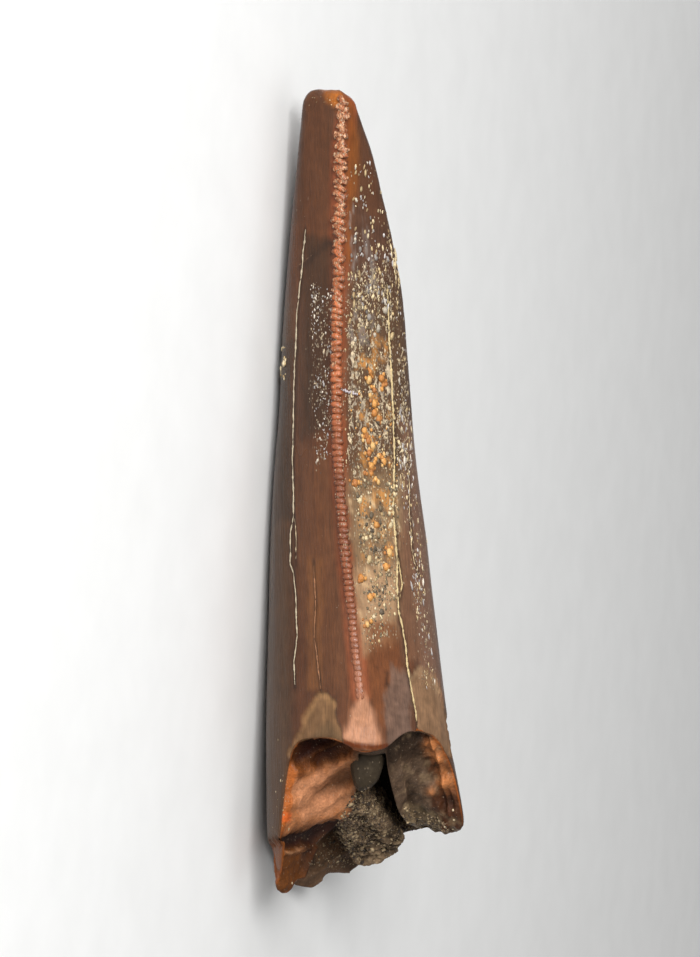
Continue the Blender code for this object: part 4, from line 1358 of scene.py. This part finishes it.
# %% Tones of the rock
tone = np.tile(tint(128, 106, 82), (len(rock), 1))
raised_light_and_hollow_shade = np.clip((rock_relief - rock_relief.mean()) / rock_relief.std(), -1.3, 1.5)
tone = lay_colour(tone, smooth_step(rough_lumps(rock, 0.7, 63) * 2), tint(196, 168, 130), 0.85)
tone = lay_colour(tone, smooth_step(rough_lumps(rock, 0.5, 64) * 2 - 0.2), tint(46, 36, 27), 0.95)
# Raised parts are painted lighter and hollows darker: painted light and shade.
tone = tone * (1 + 0.55 * raised_light_and_hollow_shade)[:, None]
store_colour(matrix, tone)
store_value(matrix, np.full(len(rock), 0.85), "polish")
rock_material = bpy.data.materials.new("sandy_rock")
matrix.data.materials.append(rock_material)
matrix.data.shade_smooth()
make_dentine(rock_material, fibre=0.22, dirt=0.55, coat=0.0, grit=0.25)
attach(matrix, "root")
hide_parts("sand_matrix")
print("rock fill:", len(matrix.data.polygons), "faces")

# %% Mud lobe
PLUG_CENTRE = np.array([65.5, 9.9, 1.8])
PLUG_HALF_SIZE = np.array([5.4, 2.4, 1.85])
PLUG_LEAN = -0.5
deselect()
bpy.ops.mesh.primitive_ico_sphere_add(subdivisions=6, radius=1.0)
plug = bpy.context.object
plug.name = "mud_lobe"
ball = read_points(plug)
block = squared(ball, 0.72)
taper = 1 - 0.45 * np.maximum(0, -block[:, :1])
lobe = PLUG_CENTRE + PLUG_HALF_SIZE * block * np.hstack([np.ones_like(taper), taper, taper])
lobe[:, 0] += PLUG_LEAN * (lobe[:, 2] - PLUG_CENTRE[2]) * smooth_step(ball[:, 0] + 0.2)
lobe += ball * (0.10 * rough_lumps(lobe, 1.5, 71))[:, None]
write_points(plug, to_world(lobe))
mud_tone = np.tile(tint(64, 54, 40), (len(lobe), 1))
damp = smooth_step(rough_lumps(lobe, 1.1, 72) + 0.2)
pale = smooth_step(lumps(lobe, 0.5, 73) * 3 - 1.6)
mud_tone = lay_colour(mud_tone, damp, tint(50, 43, 32), 0.8)
mud_tone = lay_colour(mud_tone, pale, tint(92, 80, 60), 0.5)
store_colour(plug, mud_tone)
store_value(plug, np.full(len(lobe), 0.55), "polish")
mud_material = bpy.data.materials.new("dried_mud")
plug.data.materials.append(mud_material)
plug.data.shade_smooth()
make_dentine(mud_material, fibre=0.5, dirt=0.35, coat=0.0)
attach(plug, "root")
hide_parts("mud_plug")
print("mud lobe:", len(plug.data.polygons), "faces")

# %% [markdown]
# ## Crack fill
#
# Fine cream mineral stands in the long cracks. Each vein is a curve laid on the surface, with a
# round bevel whose radius changes from point to point, then made a mesh.

# %% Veins
VEINS = [
    (LEFT_CRACK, 0.08, tint(202, 186, 156)), (LEFT_STRAND, 0.07, tint(206, 184, 146)),
    (SECOND_CRACK, 0.06, tint(160, 104, 60)), (RIGHT_CRACK, 0.115, tint(222, 196, 142)),
    (RIGHT_STRAND, 0.075, tint(214, 186, 130)), (FAR_CRACK, 0.06, tint(206, 178, 136)),
    ([(293, 269), (303, 262), (313, 254)], 0.03, tint(150, 112, 84)),
]


def resample(line, step):
    """Points along a line in the picture, a step apart."""
    line = np.array(line, float)
    run = np.concatenate([[0], np.cumsum(np.hypot(*np.diff(line, axis=0).T))])
    at = np.arange(0, run[-1], step)
    return np.column_stack([np.interp(at, run, line[:, 0]), np.interp(at, run, line[:, 1])])


def vein(line, radius):
    """A curve object along a crack."""
    data = bpy.data.curves.new("vein", "CURVE")
    data.dimensions = "3D"
    data.bevel_depth = radius * MM
    data.bevel_resolution = 1
    data.use_fill_caps = True
    dots = resample(line, 2.2)
    wobble = np.cumsum(random.normal(0, 0.25, len(dots)))
    wobble -= np.linspace(wobble[0], wobble[-1], len(dots))
    thick = np.clip(1 + 0.35 * random.normal(0, 1, len(dots)), 0.3, 1.8)
    fade = np.minimum(1, np.minimum(np.arange(len(dots)), np.arange(len(dots))[::-1]) / 6)
    landed = []
    for (px, py), shift, size, end in zip(dots, wobble, thick, fade):
        point, normal = land(tooth_tree, px + 0.5 * shift, py)
        if point is not None:
            landed.append((point - normal * radius * 0.35, size * (0.3 + 0.7 * end)))
    spline = data.splines.new("POLY")
    spline.points.add(len(landed) - 1)
    for target, (point, size) in zip(spline.points, landed):
        target.co = (*to_world(point), 1)
        target.radius = size
    return link_object("vein", data)


# %% All veins in one piece
veins = []
for line, radius, colour in VEINS:
    select(vein(line, radius))
    bpy.ops.object.convert(target="MESH")
    veins.append(bpy.context.object)
    size = len(veins[-1].data.vertices)
    store_colour(veins[-1], np.tile(colour, (size, 1)) * random.uniform(0.7, 1.1, (size, 1)))
select(*veins)
bpy.ops.object.join()
crack_fill = bpy.context.object
crack_fill.name = "crack_fill"
crack_fill.data.materials.clear()
crust_material = bpy.data.materials.new("crust")
crack_fill.data.materials.append(crust_material)
crack_fill.data.shade_smooth()
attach(crack_fill, "root")
print("crack fill:", len(crack_fill.data.polygons), "faces")

# %% [markdown]
# ## Crust and grains
#
# One grain is an icosphere, dented by lumps. Copies of it are strewn over the flank, stretched
# along the tooth and pressed flat, and larger golden ones are set one by one.

# %% Strewing grains
grain_points, grain_faces = ball_to_copy(1)


def grain_at(point, normal, size, stretch, flat=0.45, turn=0.0):
    """One grain on the surface: long along the tooth, and pressed flat along the normal."""
    along = np.array([1.0, 0, 0]) - normal * normal[0]
    along /= np.linalg.norm(along)
    across = np.cross(normal, along)
    first = along * math.cos(turn) + across * math.sin(turn)
    second = across * math.cos(turn) - along * math.sin(turn)
    dented = grain_points * (1 + 0.35 * lumps(grain_points + point * 3, 0.9, 81))[:, None]
    return (point + normal * size * flat * 0.3 + dented[:, :1] * first * size * stretch
            + dented[:, 1:2] * second * size + dented[:, 2:] * normal * size * flat)


def strewn(tree, outline, count, size, stretch, tones, flat=0.45, turn_spread=0.25):
    """Grains inside an outline in the picture."""
    outline = np.array(outline, float)
    low_corner, high_corner = outline.min(axis=0), outline.max(axis=0)
    shapes, colours_here = [], []
    tries = 0
    while len(shapes) < count and tries < count * 20:
        tries += 1
        spot = random.uniform(low_corner, high_corner)
        if in_outline(outline.tolist(), 0.01, 0, spot[None])[0] < 0.5:
            continue
        if lumps(np.array([spot[0] / 14, spot[1] / 30, 0]), 1.0, 82) < random.uniform(-0.9, 0.35):
            continue
        point, normal = land(tree, *spot)
        if point is None:
            continue
        grain_size = size * random.lognormal(0, 0.42)
        colours_here.append(tones[random.integers(len(tones))] * random.uniform(0.75, 1.15))
        long, turn = random.uniform(1.0, stretch), random.normal(0, turn_spread)
        shapes.append(grain_at(point, normal, grain_size, long, flat, turn))
    return shapes, colours_here


CREAM = [tint(226, 204, 160), tint(206, 180, 132), tint(236, 216, 176), tint(176, 148, 104)]
GREY_WHITE = [tint(206, 200, 196), tint(170, 164, 160), tint(226, 214, 196)]
OLIVE = [tint(120, 104, 78), tint(150, 132, 100), tint(92, 80, 62)]
FLAKE = [tint(150, 142, 134), tint(120, 112, 106), tint(196, 184, 164)]
GOLD = [tint(222, 156, 78), tint(200, 130, 58), tint(232, 184, 116), tint(184, 116, 54)]

STREWN = [
    # outline, how many, size in mm, stretch, colours
    ([(350, 195), (366, 195), (390, 290), (384, 350), (350, 340)], 40, 0.15, 1.9, FLAKE),
    ([(354, 165), (376, 160), (398, 240), (404, 300), (350, 330), (352, 240)],
     150, 0.08, 3.2, CREAM + GREY_WHITE),
    ([(348, 270), (392, 265), (396, 400), (350, 400)], 380, 0.07, 2.6, CREAM + OLIVE),
    ([(350, 390), (397, 390), (398, 490), (354, 490)], 300, 0.075, 2.0, CREAM + OLIVE + [GOLD[0]]),
    ([(356, 480), (398, 480), (398, 600), (362, 600)], 420, 0.11, 1.5, CREAM + OLIVE + OLIVE),
    ([(362, 590), (398, 590), (392, 636), (368, 646)], 90, 0.11, 1.4, CREAM + OLIVE),
    ([(396, 280), (406, 330), (414, 470), (397, 470)], 300, 0.06, 3.6, CREAM + GREY_WHITE),
    ([(400, 470), (414, 470), (430, 640), (438, 690), (426, 690), (408, 560)],
     200, 0.065, 3.8, CREAM + GREY_WHITE),
    ([(386, 170), (392, 190), (404, 270), (398, 290), (388, 240)], 60, 0.08, 3.4, CREAM),
    ([(310, 285), (334, 290), (334, 460), (316, 465)], 190, 0.055, 2.6, GREY_WHITE),
    ([(345, 300), (352, 300), (352, 470), (345, 470)], 60, 0.06, 2.0, CREAM),
    ([(286, 730), (290, 830), (272, 830), (272, 740)], 16, 0.035, 3.0, CREAM),
    ([(298, 92), (350, 100), (346, 108), (300, 106)], 14, 0.045, 1.2, CREAM),
    ([(276, 345), (286, 345), (286, 380), (278, 380)], 22, 0.14, 1.4, CREAM),
]
grains, grain_tones = [], []
for outline, how_many, size, stretch, tones in STREWN:
    some, their_tones = strewn(tooth_tree, outline, how_many, size, stretch, tones)
    grains += some
    grain_tones += their_tones
print("crust grains:", len(grains))

# %% Golden grains, cream specks, most of them painted glints, and a pale scratch
GOLD_SPOTS = [
    (369, 380), (381, 378), (374, 390), (374, 413), (378, 419), (364, 431), (368, 441), (369, 453),
    (371, 466), (384, 462), (371, 474), (378, 482), (355, 483), (376, 525), (389, 553), (386, 567),
    (361, 578), (370, 597), (367, 624), (366, 436), (372, 446), (380, 456), (374, 404), (370, 372),
    (383, 385),
]
GRAINS_PER_SPOT = 5
for spot in GOLD_SPOTS:
    for k in range(GRAINS_PER_SPOT):
        # The first grain sits on the spot, and smaller ones lie scattered round it.
        point, normal = land(tooth_tree, *(np.array(spot) + random.normal(0, 2.8, 2) * (k > 0)))
        if point is not None:
            grain_size = random.uniform(0.26, 0.46) * (1 if k == 0 else 0.6)
            grains.append(grain_at(point, normal, grain_size, 1.2, 0.5))
            grain_tones.append(GOLD[random.integers(len(GOLD))])
# The first four cream specks are painted glints on the glossy labial prong.
CREAM_SPECKS_AND_GLINTS = [(453, 810), (445, 827), (454, 820), (453, 829), (292, 883)]
for spot in CREAM_SPECKS_AND_GLINTS:
    point, normal = land(tooth_tree, *spot)
    grains.append(grain_at(point, normal, 0.13, 1.4, 0.5, 0.5))
    grain_tones.append(CREAM[2])
PALE_SCRATCH = [(335, 387), (345, 391), (357, 395)]
for spot in resample(PALE_SCRATCH, 1.6):
    point, normal = land(tooth_tree, *(spot + random.normal(0, 0.5, 2)))
    grains.append(grain_at(point + normal * 0.12, normal, 0.12, 1.3, 0.6))
    grain_tones.append(tint(206, 196, 200))
print("with golden grains, crumbs and scratch:", len(grains))

# %% Grains on the faces that the camera doesn't see
UNSEEN_GRAINS = 420
for _ in range(UNSEEN_GRAINS):
    where_around = random.choice([-1, 1]) * random.uniform(0.46, 0.98)
    length_here = random.uniform(8, 66)
    patch = lumps(np.array([length_here / 9, where_around * 3, 0]), 1.0, 83)
    if patch < random.uniform(-0.5, 0.6):
        continue
    point, beside, below = (
        crown(np.array([where_around + step]), np.array([length_here + run]))[0]
        for step, run in ((0, 0), (0.01, 0), (0, 0.2))
    )
    normal = np.cross(beside - point, below - point)
    normal /= np.linalg.norm(normal)
    if normal[2] * where_around < 0:
        normal = -normal
    if to_world(point)[2] < 0.0006:
        continue
    grain_size, stretch = 0.08 * random.lognormal(0, 0.4), random.uniform(1, 2.6)
    grains.append(grain_at(point, normal, grain_size, stretch, 0.4, random.normal(0, 0.3)))
    grain_tones.append(CREAM[random.integers(len(CREAM))] * random.uniform(0.6, 1))

crust = joined_copies(
    "crust_grains", np.array(grains), grain_faces, np.array(grain_tones), crust_material,
)
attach(crust, "root")
print("all crust grains:", len(grains), "in", len(crust.data.polygons), "faces")

# %% Grains of the rock fill
rock_tree = face_tree([tooth, matrix, plug])
ROCK_TONES = [
    tint(150, 126, 94), tint(120, 98, 74), tint(80, 62, 44), tint(186, 162, 124), tint(48, 37, 27),
]
ROCK_FACE = [
    (356, 790), (372, 786), (400, 812), (416, 828), (396, 852), (366, 868), (345, 850), (332, 830),
]
MESIAL_LOBE = [(350, 828), (366, 866), (330, 868), (306, 866), (332, 830)]
RIGHT_LIP = [(402, 806), (440, 818), (452, 832), (420, 830)]
rock_grains, rock_tones = [], []
for outline, how_many, size in (
    (ROCK_FACE, 1900, 0.07), (MESIAL_LOBE, 420, 0.055), (RIGHT_LIP, 260, 0.07),
):
    some, their_tones = strewn(rock_tree, outline, how_many, size, 1.5, ROCK_TONES, 0.8, 1.5)
    rock_grains += some
    rock_tones += their_tones
rock_crumbs = joined_copies(
    "rock_grains", np.array(rock_grains), grain_faces, np.array(rock_tones), crust_material,
)
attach(rock_crumbs, "root")
print("rock grains:", len(rock_grains))


# %% [markdown]
# ### Crust
#
# The grains carry their own colours. The material adds a fine mottling, and stays quite matt.

# %% Crust material
def make_crust(material):
    tree, shader, where = start_material(material)
    zones = read_attribute(tree, "zone_colour", "Color")
    fine = use_group(tree, mottle_group, where, Size=0.12)["Mask"]
    dark = mix_colour(tree, 0.45, zones, (0.08, 0.05, 0.03))
    set_inputs(tree, shader, {
        "Base Color": mix_colour(tree, fine, dark, zones), "Roughness": 0.55,
        "Normal": add_bump(tree, fine, 0.04, 0.5),
    })


make_crust(crust_material)

# %% [markdown]
# ## Floor and light
#
# A pale floor and soft light, from in front and from the tip's side, so that the arch of the break
# throws its own shadow into the hollow, as in the photograph.

# %% Floor
deselect()
bpy.ops.mesh.primitive_plane_add(size=6.0, location=(0, 0, 0))
floor = bpy.context.object
floor.name = "floor"
floor_material = bpy.data.materials.new("pale_floor")
floor.data.materials.append(floor_material)
tree, shader, where = start_material(floor_material)
paper = use_group(tree, mottle_group, where, Size=6.0)["Mask"]
set_inputs(tree, shader, {
    "Base Color": mix_colour(tree, paper, (0.88, 0.88, 0.87), (0.91, 0.91, 0.90)), "Roughness": 0.8,
})
print("floor laid")

# %% Lights
def softbox(name, place_from, size, power):
    """A square light that faces the tooth's middle, placed in the tooth's own directions."""
    bpy.ops.object.light_add(type="AREA")
    lamp = bpy.context.object
    lamp.name = name
    lamp.data.size = size
    lamp.data.energy = power
    stand = Vector(to_world(place_from))
    lamp.location = stand
    lamp.rotation_euler = (Vector(to_world((42, 8, 0))) - stand).to_track_quat("-Z", "Y").to_euler()


softbox("key_light", (-20, -430, 110), 0.2, 2.3)
softbox("tip_light", (-330, -260, 60), 0.35, 1.2)
softbox("top_light", (60, -60, 430), 0.5, 0.35)
world_light = bpy.data.worlds.new("studio")
bpy.context.scene.world = world_light
world_light.use_nodes = True
background = world_light.node_tree.nodes["Background"]
set_inputs(world_light.node_tree, background, {"Color": (1, 1, 1, 1), "Strength": 0.24})
